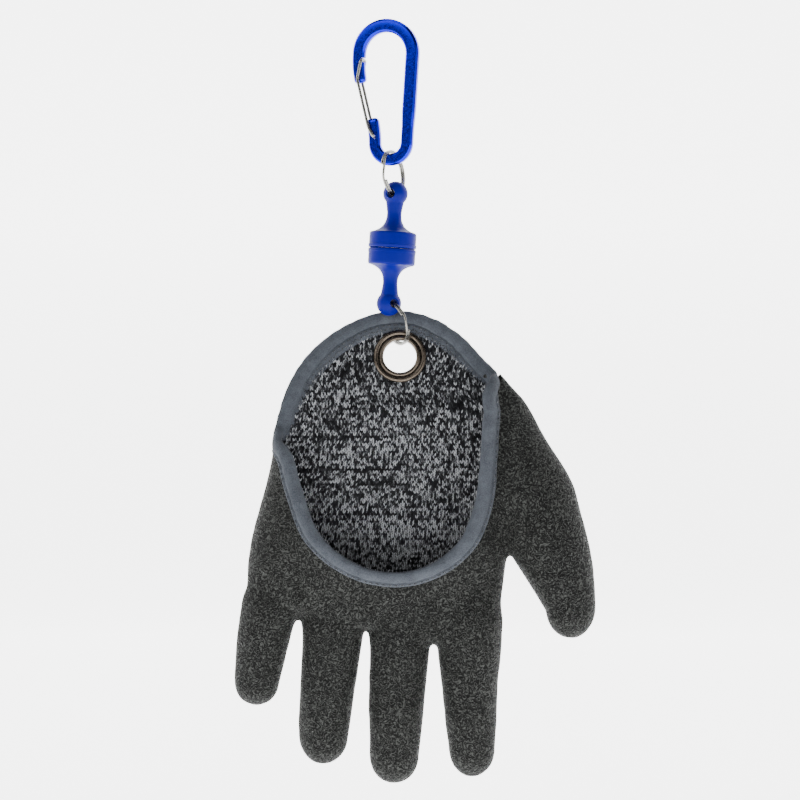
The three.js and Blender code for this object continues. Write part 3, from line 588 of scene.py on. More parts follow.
def upright_prism(outline, half_depth):
    """A closed prism through the carabiner's thickness over an outline in its plane."""
    near = np.stack([outline[:, 0], np.full(len(outline), half_depth), outline[:, 1]], axis=-1)
    far = near * [1, -1, 1]
    points, faces = closed_surface(np.stack([near, far]))
    return carabiner_world(points), faces


# the gate's pin from the start of the hook, its crossbar from the nose's inner side, and how far the notch opens
PIN_SHIFT, PIN_RISE, CROSSBAR_INSET, CROSSBAR_DROP, NOTCH_REACH = 0.2, 3.0, 1.0, 2.6, 3
pivot = np.array([hook_side + PIN_SHIFT, bottom[1] + PIN_RISE])
crossbar = np.array([-TOP_RADIUS + BAR_WIDTH / 2 - CROSSBAR_INSET, top[1] - CROSSBAR_DROP])
hole_radius = GATE_WIRE / 2 + FIT
notch = np.concatenate([arc(crossbar, hole_radius, 90, 270, 24),
                        crossbar + [[NOTCH_REACH, -hole_radius], [NOTCH_REACH, hole_radius]]])
carabiner = build_carabiner()
cut(carabiner, *upright_prism(arc(pivot, hole_radius, 0, 345, 24), BAR_THICKNESS))
cut(carabiner, *upright_prism(notch, BAR_THICKNESS))
carabiner.data.polygons.foreach_set("use_smooth", np.ones(len(carabiner.data.polygons), dtype=bool))
carabiner.data.set_sharp_from_angle(angle=np.radians(28))
finish_piece(carabiner, "carabiner", blue_metal, ["carabiner_frame"])

# %% [markdown]
# ## Wire gate
#
# One loop of spring wire: a leg on each side of the bar, a crossbar that lies in the nose's notch and a pin
# through the hook. The loop's eight corners are eased by short parabolas before a round profile goes along it.


# %% Wire gate
# the legs' bend above the hook, from the pivot; the corners' easing
SHIN, CORNER_EASE = [-2.6, 4.6], 1.6


def build_gate():
    """A closed sweep. The profile's first way points out of the loop's middle, square to the wire."""
    offset = BAR_THICKNESS / 2 + FIT + GATE_WIRE / 2
    kink = nose_end - [NOSE_LEAN, 0]
    shin = pivot + SHIN
    flat = np.array([pivot, shin, kink, crossbar])
    near = np.stack([flat[:, 0], np.full(4, -offset), flat[:, 1]], axis=-1)
    corners = np.concatenate([near, near[::-1] * [1, -1, 1]])
    before, after = np.roll(corners, 1, axis=0), np.roll(corners, -1, axis=0)
    sides = np.linalg.norm(before - corners, axis=1), np.linalg.norm(after - corners, axis=1)
    wire = eased_corners(corners, np.minimum(CORNER_EASE, np.minimum(*sides) / 3)[:, None], 9)
    along = unit(np.roll(wire, -1, axis=0) - np.roll(wire, 1, axis=0))
    out = wire - wire.mean(axis=0)
    across = unit(out - along * (out * along).sum(axis=1, keepdims=True))
    rings = carry(wire, across, np.cross(along, across), oval(GATE_WIRE / 2, GATE_WIRE / 2, 16))
    points, faces = closed_surface(rings, endless=True)
    return mesh_object("wire_gate", carabiner_world(points), faces)


finish_piece(build_gate(), "gate", steel, ["gate_wire"])

# %% [markdown]
# ## Split rings
#
# Each ring is two turns of flattened wire side by side. Half way along, the wire steps across from the first
# turn to the second. The way down and the way forward of each ring's plane place it in the chain.

# %% Split rings
RING_RADIUS, RING_WIRE_WIDTH, RING_WIRE_HEIGHT, RING_TURN_GAP = 10.95, 1.3, 1.0, 0.15
RING_STEP, RING_STATIONS = 0.06, 193


def build_ring(name, centre, yaw, lean):
    """A two-turn sweep: angle runs through two turns, and the side step is a smooth step round half way."""
    turn = np.linspace(RING_STEP, 2 - RING_STEP, RING_STATIONS)
    ease = np.clip((turn - 1 + RING_STEP) / (2 * RING_STEP), 0, 1)
    rise = (ease**2 * (3 - 2 * ease) - 0.5) * (RING_WIRE_HEIGHT + RING_TURN_GAP)
    out = np.stack([np.cos(2 * np.pi * turn), 0 * turn, np.sin(2 * np.pi * turn)], axis=-1)
    side = np.repeat([[0.0, 1.0, 0.0]], len(turn), 0)
    rings = carry(out * RING_RADIUS + side * rise[:, None], out, side,
                  oval(RING_WIRE_WIDTH / 2 * 1.06, RING_WIRE_HEIGHT / 2, 14, 3.0))
    points, faces = closed_surface(rings)
    forward = np.array([np.sin(yaw), -np.cos(yaw), 0])
    deep = lean * np.tan(yaw)
    down = np.array([lean, deep, -np.sqrt(1 - lean**2 - deep**2)])
    world = basis_to_world(points, np.asarray(centre), forward, np.cross(down, forward), down)
    return mesh_object(name, world, faces)


UPPER_BALL = np.array([4.752, -2.003, -81.188])
LOWER_BALL = np.array([1.468, -2.003, -135.990])
UPPER_RING, UPPER_YAW, UPPER_LEAN = (3.614, -1.448, -70.916), np.radians(-26), 0.11
LOWER_RING, LOWER_YAW, LOWER_LEAN = (4.573, -0.267, -145.710), np.radians(29.2), 0.3
upper_ring = build_ring("upper_ring", UPPER_RING, UPPER_YAW, UPPER_LEAN)
lower_ring = build_ring("lower_ring", LOWER_RING, LOWER_YAW, LOWER_LEAN)
finish_piece(upper_ring, "carabiner", steel, ["upper_split_ring"])
finish_piece(lower_ring, "glove", steel, ["lower_split_ring"])

# %% [markdown]
# ## Magnetic connector
#
# Two moulded halves, each turned about one axis: a ball drilled for the ring, a waisted neck that flares into
# a round head, and a shallow seat for a disc magnet in the parting face. Seen with the halves together, only a
# thin dark line with a small lip parts them. The same profile serves both halves.

# %% Connector halves
BALL_RADIUS, NECK_RADIUS, NECK_DISTANCE, HEAD_RADIUS = 6.15, 3.65, 10.1, 11.75
HEAD_HEIGHT, BALL_TO_FACE, RING_HOLE_RADIUS = 8.1, 27.3, 2.2
MAGNET_RADIUS, MAGNET_HEIGHT, MAGNET_EDGE = 8.0, 3.0, 0.3
SHOULDER, LIP, HOLE_EASE, POLE = 1.2, 0.22, 0.9, 0.01
# the neck's blend into the ball, and its flare as shares of the head's extra radius and of the flare's length
NECK_BLEND, WAIST = 1.28, [0.25, -2.2]
FLARE = [(0.06, 0.4), (0.27, 0.72), (0.6, 0.92)]
CONNECTOR_TILT = np.radians(3.43)
connector_way = np.array([-np.sin(CONNECTOR_TILT), 0, -np.cos(CONNECTOR_TILT)])


def connector_profile():
    """Radius and distance from the ball's pole to the magnet's seat, densely."""
    ball_end = np.arcsin(NECK_RADIUS / BALL_RADIUS) * NECK_BLEND
    angle = np.linspace(np.pi, ball_end, 22)
    ball = BALL_RADIUS * np.stack([np.sin(angle), np.cos(angle)], axis=-1)
    head_start = BALL_TO_FACE - HEAD_HEIGHT
    flare, wide = head_start - NECK_DISTANCE, HEAD_RADIUS - NECK_RADIUS
    neck = smooth_path([
        ball[-1], [NECK_RADIUS + WAIST[0], NECK_DISTANCE + WAIST[1]], [NECK_RADIUS, NECK_DISTANCE],
        *([NECK_RADIUS + out * wide, NECK_DISTANCE + along * flare] for out, along in FLARE),
        [HEAD_RADIUS - SHOULDER, head_start - 0.05]], 30)
    quarter = np.linspace(0, np.pi / 2, 6)
    shoulder = HEAD_RADIUS - SHOULDER + SHOULDER * np.sin(quarter)
    edge = head_start + SHOULDER * (1 - np.cos(quarter))
    seat = MAGNET_RADIUS + FIT
    rim = np.array([
        [HEAD_RADIUS, BALL_TO_FACE - 1.9], [HEAD_RADIUS + LIP, BALL_TO_FACE - 1.7],
        [HEAD_RADIUS + LIP, BALL_TO_FACE - 0.5], [HEAD_RADIUS - 0.1, BALL_TO_FACE - 0.1],
        [HEAD_RADIUS - 0.4, BALL_TO_FACE], [seat + 0.2, BALL_TO_FACE], [seat, BALL_TO_FACE - 0.2],
        [seat, BALL_TO_FACE - MAGNET_HEIGHT - 2 * FIT], [POLE, BALL_TO_FACE - MAGNET_HEIGHT - 2 * FIT]])
    ball[0, 0] = POLE
    return np.concatenate([ball, neck[1:-1], np.stack([shoulder, edge], axis=-1), rim])


def build_half(name, ball_centre, way, hole_yaw):
    """The profile turned round the connector's axis, and the ring's hole drilled through the ball."""
    side = np.cross([0.0, 1.0, 0.0], way)
    front = np.cross(way, side)
    points, faces = closed_surface(turned(connector_profile(), 72))
    made = mesh_object(name, basis_to_world(points, ball_centre, side, front, way), faces)
    drill_way = np.array([np.sin(hole_yaw), -np.cos(hole_yaw), 0])
    drill_side = np.array([np.cos(hole_yaw), np.sin(hole_yaw), 0])
    reach = BALL_RADIUS + 3
    end = np.array([[RING_HOLE_RADIUS + HOLE_EASE, reach], [RING_HOLE_RADIUS + 0.7, BALL_RADIUS - 0.15],
                    [RING_HOLE_RADIUS, BALL_RADIUS - HOLE_EASE]])
    drill = np.concatenate([end * [1, -1], end[::-1]])
    drill_points, drill_faces = closed_surface(turned(drill, 40))
    cut(made, basis_to_world(drill_points, ball_centre, drill_side, np.cross(drill_way, drill_side),
                             drill_way), drill_faces)
    made.data.polygons.foreach_set("use_smooth", np.ones(len(made.data.polygons), dtype=bool))
    made.data.set_sharp_from_angle(angle=np.radians(40))
    return made


upper_half = build_half("upper_half", UPPER_BALL, connector_way, UPPER_YAW)
lower_half = build_half("lower_half", LOWER_BALL, -connector_way, LOWER_YAW)
finish_piece(upper_half, "carabiner", blue_plastic, ["connector_upper"])
finish_piece(lower_half, "glove", blue_plastic, ["connector_lower"])


# %% Magnets, seen when the connector is parted
def build_magnet(name, ball_centre, way):
    """A disc with eased edges, standing in its seat just behind the parting face."""
    near, far = BALL_TO_FACE - FIT - MAGNET_HEIGHT, BALL_TO_FACE - FIT
    inner = MAGNET_RADIUS - MAGNET_EDGE
    profile = np.array([[POLE, near], [inner, near], [MAGNET_RADIUS, near + MAGNET_EDGE],
                        [MAGNET_RADIUS, far - MAGNET_EDGE], [inner, far], [POLE, far]])
    side = np.cross([0.0, 1.0, 0.0], way)
    points, faces = closed_surface(turned(profile, 64))
    made = mesh_object(name, basis_to_world(points, ball_centre, side, np.cross(way, side), way), faces)
    made.data.set_sharp_from_angle(angle=np.radians(30))
    return made


finish_piece(build_magnet("upper_magnet", UPPER_BALL, connector_way), "carabiner", magnet_plate,
             ["magnet_upper"])
finish_piece(build_magnet("lower_magnet", LOWER_BALL, -connector_way), "glove", magnet_plate,
             ["magnet_lower"])

# %% [markdown]
# ## Glove's measures
#
# The palm is a stack of squarish ovals. Its long wall follows a sloping plane, its low-cut wall is nearly
# upright. The tables give each section's sides as shares of the glove's length, width and depth, and the same
# numbers made the solids, so the skin lands on them.

# %% Palm sections and the mouth's edge
GLOVE = np.array([6.925, 3.024, -140.541])
LENGTH, WIDTH, DEPTH = 235.6, 180.5, 36.0
COAT_WALL, CLOTH_GAP, LINER_WALL = 0.85, 0.25, 0.8
WALL = COAT_WALL + CLOTH_GAP + LINER_WALL
EYELET_BELOW_EDGE, MOUTH_FALL = 13.9, 129.2
PALM_END, PALM_END_SLOPE = 0.668, 0.17
SECTION_POWER = 2 / 2.4

# down, left, right, side, far, front
PALM = np.array([
    [0.0, -0.322, 0.284, -0.36, 0.0, -0.92],
    [0.1, -0.327, 0.275, -0.36, 0.0, -0.92],
    [0.135, -0.329, 0.265, -0.36, 0.0, -0.92],
    [0.17, -0.331, 0.272, -0.36, 0.0, -0.92],
    [0.21, -0.333, 0.288, -0.36, 0.0, -0.92],
    [0.262, -0.341, 0.292, -0.36, 0.04, -0.93],
    [0.32, -0.356, 0.296, -0.35, 0.15, -0.94],
    [0.4, -0.383, 0.3, -0.34, 0.33, -0.94],
    [0.48, -0.409, 0.301, -0.33, 0.47, -0.92],
    [0.53, -0.418, 0.292, -0.33, 0.53, -0.85],
    [0.612, -0.426, 0.278, -0.32, 0.54, -0.68],
    [0.67, -0.42, 0.268, -0.31, 0.51, -0.6],
])

# around, in degrees from the thumb's side; fall, share of MOUTH_FALL
MOUTH = np.array([
    [88, 0.0], [60, 0.073], [33, 0.19], [12, 0.232], [-10, 0.256], [-29, 0.31], [-35.3, 0.4],
    [-38.3, 0.5], [-44, 0.715], [-54.5, 0.875], [-70, 0.972], [-86, 1.0], [-101, 0.945], [-116, 0.845],
    [-133, 0.667], [-150, 0.534], [-174, 0.475], [-197, 0.345], [-220, 0.195], [-244, 0.075],
])


def wall_plane(z):
    """Depth of the long wall's sloping plane at a height."""
    return WALL_LEAN * (z + EYELET_BELOW_EDGE)


def palm_sides(z):
    """The palm table's five shares at a height."""
    return (np.interp(-z / LENGTH, PALM[:, 0], PALM[:, k]) for k in range(1, 6))


def palm_point(angle, z, inset):
    """A point of the palm's skin: x and y go round a squarish oval whose sides depend on the height z."""
    left, right, side, far, front = palm_sides(z)
    left, right = left * WIDTH + inset, right * WIDTH - inset
    side = side * DEPTH
    far = wall_plane(z) + far * DEPTH - inset
    front = front * DEPTH + inset
    across = signed_power(np.cos(angle), SECTION_POWER)
    deep = signed_power(np.sin(angle), SECTION_POWER)
    x = (left + right) / 2 + (right - left) / 2 * across
    y = side + np.where(deep > 0, far - side, side - front) * deep
    return np.stack(np.broadcast_arrays(x, y, z), axis=-1)


def skin_ways(angle, z):
    """How the skin's point moves per radian of turn and per mm of height, by a small step both ways."""
    step = 2e-3
    turn = palm_point(angle + step, z, 0) - palm_point(angle - step, z, 0)
    rise = palm_point(angle, z + step, 0) - palm_point(angle, z - step, 0)
    return turn / (2 * step), rise / (2 * step)


def mouth_columns(count):
    """Angle and height of evenly spaced points on the mouth's edge."""
    half_width, half_depth = (PALM[0, 2] - PALM[0, 1]) * WIDTH / 2, DEPTH / 2
    around = np.radians(MOUTH[:, 0])
    knots = np.stack([half_width * np.cos(around), half_depth * np.sin(around), -MOUTH[:, 1] * MOUTH_FALL],
                     axis=-1)[::-1]
    curve = smooth_path(knots, count, closed=True)
    return np.unwrap(np.arctan2(curve[:, 1] / half_depth, curve[:, 0] / half_width)), curve[:, 2]


def walk_off(angle, z, way, step, count):
    """Angles and heights along the skin, in equal steps that start square to the edge.

    Each step d solves a turn + b rise = d way in the skin's two directions by least squares. Its length is
    then corrected by how far the point really moved, and the next step keeps to the way it took.
    """
    places = [(angle, z)]
    for _ in range(count):
        turn, rise = skin_ways(angle, z)
        turn_turn, rise_rise, turn_rise = (np.sum(p * q, axis=1) for p, q in
                                           ((turn, turn), (rise, rise), (turn, rise)))
        way_turn, way_rise = np.sum(way * turn, axis=1), np.sum(way * rise, axis=1)
        area = turn_turn * rise_rise - turn_rise**2
        a = (way_turn * rise_rise - way_rise * turn_rise) / area * step
        b = (way_rise * turn_turn - way_turn * turn_rise) / area * step
        moved = np.linalg.norm(palm_point(angle + a, z + b, 0) - palm_point(angle, z, 0), axis=1)
        a, b = a * step / moved, b * step / moved
        way = unit(a[:, None] * turn + b[:, None] * rise)
        angle, z = angle + a, z + b
        places.append((angle, z))
    return np.array(places)


# %% Walk over the skin from the mouth's edge
# 360 columns round the edge, each with steps of half a millimetre: a few back past the edge, the rest into the
# glove. One sign serves all columns, because two neighbours that disagreed would tear the tape.
WALK_STEP, WALK_BACK, WALK_ON = 0.5, 6, 28
edge_angle, edge_z = mouth_columns(360)
edge_turn, edge_rise = skin_ways(edge_angle, edge_z)
edge_points = palm_point(edge_angle, edge_z, 0)
edge_along = np.roll(edge_points, -1, axis=0) - np.roll(edge_points, 1, axis=0)
edge_in = unit(np.cross(np.cross(edge_turn, edge_rise), edge_along))
edge_in *= -np.sign(edge_in[np.argmax(edge_z), 2])
back = walk_off(edge_angle, edge_z, -edge_in, WALK_STEP, WALK_BACK)
edge_walk = np.concatenate([back[:0:-1], walk_off(edge_angle, edge_z, edge_in, WALK_STEP, WALK_ON)])


def edge_place(distance):
    """Angle and height at distances into the glove, one row of distances per column of the edge."""
    at = np.clip(distance / WALK_STEP + WALK_BACK, 0, len(edge_walk) - 1.001)
    low = np.floor(at).astype(int)
    column = np.arange(len(edge_angle))[:, None]
    share = at - low
    return [edge_walk[low, k, column] * (1 - share) + edge_walk[low + 1, k, column] * share for k in (0, 1)]


print("mouth's edge:", round(float(lengths_along(edge_points)[-1])), "mm round")

# %% Fingers and thumb
# across, down, width, deep, depth; the last row of each is the tip
DIGITS = {
    "little": [[-0.325, 0.53, 0.09, -0.38, 0.36], [-0.3515, 0.607, 0.16, -0.31, 0.6],
               [-0.368, 0.652, 0.153, -0.28, 0.6], [-0.388, 0.738, 0.138, -0.2, 0.56],
               [-0.396, 0.785, 0.125, -0.15, 0.52], [-0.4, 0.832, 0, -0.1, 0]],
    "ring": [[-0.18, 0.52, 0.12, -0.38, 0.44], [-0.182, 0.612, 0.176, -0.31, 0.64],
             [-0.187, 0.695, 0.165, -0.28, 0.64], [-0.2, 0.8, 0.152, -0.2, 0.6],
             [-0.212, 0.9, 0.137, -0.11, 0.55], [-0.219, 0.958, 0, -0.05, 0]],
    "middle": [[0.003, 0.525, 0.12, -0.38, 0.42], [0.0, 0.625, 0.178, -0.31, 0.65],
               [0.0, 0.7, 0.166, -0.29, 0.65], [-0.01, 0.83, 0.155, -0.2, 0.61],
               [-0.015, 0.94, 0.137, -0.1, 0.56], [-0.015, 1.0, 0, -0.04, 0]],
    "index": [[0.18, 0.515, 0.12, -0.38, 0.44], [0.187, 0.625, 0.184, -0.31, 0.64],
              [0.191, 0.69, 0.18, -0.3, 0.65], [0.193, 0.79, 0.156, -0.23, 0.6],
              [0.199, 0.925, 0.127, -0.12, 0.53], [0.205, 0.983, 0, -0.05, 0]],
    "thumb": [[0.258, 0.122, 0.02, -0.36, 0.08], [0.281, 0.18, 0.086, -0.36, 0.34],
              [0.303, 0.223, 0.122, -0.36, 0.5],
              [0.318, 0.287, 0.18, -0.36, 0.68], [0.352, 0.381, 0.245, -0.38, 0.84],
              [0.404, 0.474, 0.222, -0.41, 0.86], [0.4535, 0.575, 0.169, -0.44, 0.74],
              [0.4697, 0.6185, 0.141, -0.45, 0.64], [0.4654, 0.6855, 0, -0.46, 0]],
}


BODY_RINGS, CAP_RINGS = 40, 10
# the palm's end is drawn in a little, and closes a little further in and down
END_PINCH, END_PINCH_FADE, END_DRAW, END_DROP = 1.2, 30, 4.8, 2.4


def digit_rings(rows, inset, sides=36):
    """Ovals across the digit's own line, smooth between the table's rows, then a round cap to the tip."""
    rows = np.array(rows) * [WIDTH, LENGTH, WIDTH / 2, DEPTH, DEPTH / 2] * [1, -1, 1, 1, 1]
    body = smooth_path(rows[:-1], BODY_RINGS)
    body[:, [2, 4]] -= inset
    spots = body[:, [0, 3, 1]]
    tip_way = rows[-1, [0, 3, 1]] - spots[-1]
    tip_way *= 1 - inset / np.linalg.norm(tip_way)
    cap = np.sin(np.linspace(0, np.pi / 2, CAP_RINGS + 2)[1:-1])
    places = np.concatenate([spots, spots[-1] + tip_way * cap[:, None]])
    shrink = np.concatenate([np.ones(BODY_RINGS), np.sqrt(1 - cap**2)])
    half_width = np.concatenate([body[:, 2], np.full(CAP_RINGS, body[-1, 2])]) * shrink
    half_depth = np.concatenate([body[:, 4], np.full(CAP_RINGS, body[-1, 4])]) * shrink
    along = unit(np.gradient(places, axis=0))
    deep = unit(np.array([0, 1, 0]) - along * along[:, 1:2])
    across = np.cross(deep, along)
    shape = oval(1, 1, sides)
    return (places[:, None] + across[:, None] * (half_width[:, None] * shape[:, 0])[..., None]
            + deep[:, None] * (half_depth[:, None] * shape[:, 1])[..., None])


def palm_rings(inset, levels=70, above=12.0):
    """Palm sections from its end between the fingers up to the mouth's edge, and on past it."""
    columns = slice(None, None, 3)
    angle, z = edge_angle[columns], edge_z[columns]
    end = PALM_END + PALM_END_SLOPE * palm_point(angle, z, 0)[:, 0] / WIDTH
    low = -end * LENGTH + inset
    share = np.linspace(0, 1, levels)[:, None]
    extra = END_PINCH * np.exp(-share * END_PINCH_FADE)
    body = palm_point(angle[None, :], low + share * (z - low), inset + extra)
    close = palm_point(angle, low, inset + END_DRAW) - [0, 0, END_DROP]
    past = palm_point(angle[None, :], z + np.array([[0.5], [1.0]]) * (above - z), inset)
    return np.concatenate([close[None], body, past])


print("digits:", ", ".join(DIGITS))

# %% [markdown]
# ## One skin from six shapes
#
# Palm, fingers and thumb overlap as six closed shapes. A voxel remesh turns them into one skin, and a few
# rounds of smoothing melt the joins, as dipping the real glove in rubber does. The skin is then opened at the
# mouth and at the eyelet, where the tape and the metal flanges cover the cut, dented a little, and given its
# thickness.


# %% Skin helpers
# the cut: how far below the edge and round the eyelet's axis, hidden under the tape and the flange
CUT_DROP, CUT_ROUND_EDGE, CUT_ROUND_EYELET, EYELET_LOWEST = 0.5, 1.6, 9.4, -40
# the thumb lies beyond this share of the width and outside the palm's own oval, so the cut leaves it alone
THUMB_ACROSS, THUMB_OUTWARD = 0.2, 1.04
# slack noises as (height, size, seed), and how far from the edge and the eyelet they begin and reach full height
SLACK = [(0.45, 17, 5), (0.16, 5.5, 6)]
CALM_EDGE, CALM_EYELET = (7, 10), (13.5, 6)


def soft_noise(points, size, seed):
    """Smooth noise between -1 and 1: random values on a lattice of that size, eased between its corners."""
    lattice = np.random.default_rng(seed).uniform(-1, 1, (64, 64, 64))
    at = np.asarray(points) / size + 32.0
    cell = np.floor(at).astype(int)
    t = at - cell
    t = t * t * (3 - 2 * t)
    total = 0
    for corner in np.ndindex(2, 2, 2):
        weight = np.prod(np.where(corner, t, 1 - t), axis=-1)
        total = total + weight * lattice[tuple(((cell + corner) % 64).T)]
    return total


def join_shapes(name, shapes):
    """One object from several closed surfaces."""
    points, faces, start = [], [], 0
    for shape_points, shape_faces in shapes:
        points.append(shape_points)
        faces += [[corner + start for corner in face] for face in shape_faces]
        start += len(shape_points)
    return mesh_object(name, np.concatenate(points), faces)


def into_glove(points):
    """From the row frame to the glove's own, in millimetres."""
    return np.asarray(points) / MM - GLOVE


def edge_distance(points):
    """Distance from points to the nearest point of the mouth's edge."""
    near = np.full(len(points), np.inf)
    for spot in edge_points[::3]:
        near = np.minimum(near, np.linalg.norm(points - spot, axis=1))
    return near


def from_eyelet(points):
    """Distance from points to the eyelet's axis."""
    away = points + GLOVE - EYELET_CENTRE
    return np.linalg.norm(away - (away @ eyelet_axis)[:, None] * eyelet_axis, axis=1)


def edge_height(angle):
    """Height of the mouth's edge at an angle round the hand."""
    order = np.argsort(edge_angle % (2 * np.pi))
    return np.interp(angle % (2 * np.pi), (edge_angle % (2 * np.pi))[order], edge_z[order],
                     period=2 * np.pi)


def palm_angle(points):
    """The palm's angle at points near its skin, by undoing the squarish oval, and 1 where they lie on it."""
    x, y, z = points.T
    left, right, side, far, front = palm_sides(z)
    across = (x - (left + right) * WIDTH / 2) / ((right - left) * WIDTH / 2)
    side = side * DEPTH
    reach = np.where(y > side, wall_plane(z) + far * DEPTH - side, side - front * DEPTH)
    deep = (y - side) / np.maximum(reach, 1)
    across, deep = signed_power(across, 1 / SECTION_POWER), signed_power(deep, 1 / SECTION_POWER)
    return np.arctan2(deep, across), np.hypot(across, deep)


def open_skin(points):
    """True where the skin is cut away: above the mouth's edge, or in the eyelet's hole."""
    angle, outward = palm_angle(points)
    above = points[:, 2] > edge_height(angle) - CUT_DROP
    thumb_side = (points[:, 0] > THUMB_ACROSS * WIDTH) & (outward > THUMB_OUTWARD)
    in_eyelet = (from_eyelet(points) < CUT_ROUND_EYELET) & (points[:, 2] > EYELET_LOWEST)
    return (above & ~thumb_side) | (edge_distance(points) < CUT_ROUND_EDGE) | in_eyelet


def shape_skin(points, normals):
    """Dents and slack: broad soft noise, a finer one, and the listed dents below."""
    push = sum(height * soft_noise(points, size, seed) for height, size, seed in SLACK)
    for x, z, wide, high, depth, side in DENTS:
        spot = np.exp(-((points[:, 0] - x) / wide) ** 2 - ((points[:, 2] - z) / high) ** 2)
        push -= depth * spot * (normals[:, 1] * side > 0.2)
    for distance, (begin, over) in ((edge_distance(points), CALM_EDGE), (from_eyelet(points), CALM_EYELET)):
        push = push * np.clip((distance - begin) / over, 0, 1)
    return points + normals * push[:, None]


# x, z, half width, half height, depth, side (-1 low-cut wall, 1 long wall)
DENTS = [
    (65.5, -100.5, 4.0, 7.0, 1.8, -1), (53.5, -104.0, 3.0, 14.0, 1.4, -1), (-50.0, -138.0, 3.0, 11.0, 1.6, -1),
    (-16.0, -146.0, 3.0, 13.0, 1.8, -1), (16.0, -150.0, 3.0, 14.0, 1.8, -1), (-50.0, -138.0, 3.0, 11.0, 1.6, 1),
    (-16.0, -146.0, 3.0, 13.0, 1.8, 1), (16.0, -150.0, 3.0, 14.0, 1.8, 1), (-30.0, -118.0, 20.0, 3.0, 0.7, 1),
    (10.0, -96.0, 24.0, 3.4, 0.8, 1), (60.0, -66.0, 3.0, 9.0, 0.9, -1), (78.0, -128.0, 12.0, 1.6, 0.6, -1),
]


def build_skin(name, inset, voxel, wall, rounds):
    """Six closed shapes, remeshed, smoothed, opened, dented and thickened inwards."""
    shapes = [closed_surface(palm_rings(inset))] + [closed_surface(digit_rings(rows, inset))
                                                    for rows in DIGITS.values()]
    made = join_shapes(name, [(points + GLOVE, faces) for points, faces in shapes])
    remesh = made.modifiers.new("one skin", "REMESH")
    remesh.mode = "VOXEL"
    remesh.voxel_size = voxel * MM
    smooth = made.modifiers.new("melt the joins", "SMOOTH")
    smooth.factor = 0.5
    smooth.iterations = rounds
    applied(made)
    mesh = made.data
    points, normals = np.empty((2, len(mesh.vertices) * 3))
    mesh.vertices.foreach_get("co", points)
    mesh.vertex_normals.foreach_get("vector", normals)
    points, normals = into_glove(points.reshape(-1, 3)), normals.reshape(-1, 3)
    corners = np.empty(len(mesh.loops), dtype=int)
    mesh.loops.foreach_get("vertex_index", corners)
    quads = corners.reshape(-1, 4)
    kept = quads[~open_skin(points)[quads].any(axis=1)]
    used, kept = np.unique(kept, return_inverse=True)
    skin = shape_skin(points, normals)[used] + GLOVE
    bpy.data.objects.remove(made)
    made = mesh_object(name, skin, kept.reshape(-1, 4).tolist())
    thickness = made.modifiers.new("wall", "SOLIDIFY")
    thickness.thickness = wall * MM
    thickness.offset = -1
    return applied(made)


# %% Coat and liner
COAT_VOXEL, LINER_VOXEL = 1.26, 1.9
coat = build_skin("rubber_coat", 0.0, COAT_VOXEL, COAT_WALL, rounds=6)
finish_piece(coat, "glove", rubber, ["latex_coat"])
liner = build_skin("inner_liner", COAT_WALL + CLOTH_GAP, LINER_VOXEL, LINER_WALL, rounds=4)
finish_piece(liner, "glove", cloth, ["knit_liner"])

# %% [markdown]
# ## Knit stitches
#
# Jersey knit shows columns of small V shapes. Each leg of a V is one spindle of yarn, a dozen faces, leaning
# from the column's middle. Rows run round the hand and columns run down it, so both follow the palm's own two
# directions. The melange is a shade per leg: yarn changes colour along a row, so its noise is long in that
# direction. Painted light is added to that shade: lighter stitches low down, darker high up, and a faint lighter
# spot.


# %% Spindles of yarn
RING_SHARES = 0.3, 0.72


def spindles(starts, ends, thickness, lift, sides=3):
    """Spindles from start to end: a pole, a ring before and a ring after the middle, and a pole.

    The rings' plane is spanned by the lift direction, which points off the cloth, and the way square to it.
    """
    count = len(starts)
    along = ends - starts
    off = unit(lift - along * (np.sum(lift * along, axis=1) / np.sum(along * along, axis=1))[:, None])
    side = np.cross(unit(along), off)
    angle = 2 * np.pi * (np.arange(sides) + 0.25) / sides
    circle = (np.cos(angle)[None, :, None] * off[:, None] + np.sin(angle)[None, :, None] * side[:, None])
    circle = circle * thickness[:, None, None] / 2
    rings = [(starts + along * share)[:, None] + circle for share in RING_SHARES]
    points = np.concatenate([starts[:, None], *rings, ends[:, None]], axis=1)
    here = np.arange(sides)
    after = (here + 1) % sides
    low, high, last = 1 + here, 1 + sides + here, 1 + 2 * sides
    triangles = np.concatenate([
        np.stack([0 * here, 1 + after, low], axis=-1),
        np.stack([low, 1 + after, high], axis=-1),
        np.stack([1 + after, 1 + sides + after, high], axis=-1),
        np.stack([high, 1 + sides + after, last + 0 * here], axis=-1)])
    faces = triangles[None] + (np.arange(count) * points.shape[1])[:, None, None]
    return points.reshape(-1, 3), faces.reshape(-1, 3)


def shade_attribute(made, shade):
    """Stores one shade per point."""
    layer = made.data.attributes.new("shade", "FLOAT", "POINT")
    layer.data.foreach_set("value", np.asarray(shade, dtype=np.float32))


# %% Tape's widths, which bound the stitches too
ROLL_WIDTH, ROLL_BEYOND = 6.5, 1.0
# degrees round the hand from the thumb's side, and the hem's width there
OUTER_HEM = [(0, 1.6), (60, 1.2), (120, 1.2), (180, 1.2), (240, 1.2), (300, 1.4), (330, 2.2)]
INNER_HEM = [(0, 1.4), (30, 3.0), (60, 4.2), (90, 4.4), (135, 4.4), (165, 3.0), (180, 2.0), (240, 1.2),
             (340, 1.2)]


def hem_width(angles, table):
    """Width of a hem at angles round the hand, from a short table of (degrees, width)."""
    degrees, widths = np.array(table, dtype=float).T
    return np.interp(np.degrees(angles) % 360, degrees, widths, period=360)


# %% Stitches over the long wall's inside
WALE_PITCH, ROW_PITCH = 1.7, 1.25
COLUMN_FROM, COLUMN_TO, COLUMN_HEIGHT = np.radians(3), np.radians(177), -75.0
ROW_FROM, ROW_TO = -2.0, -137.0
EYELET_CLEAR, YARN_THICKNESS, YARN_LIFT, STITCH_JITTER = 11.0, 0.72, 0.14, 0.08
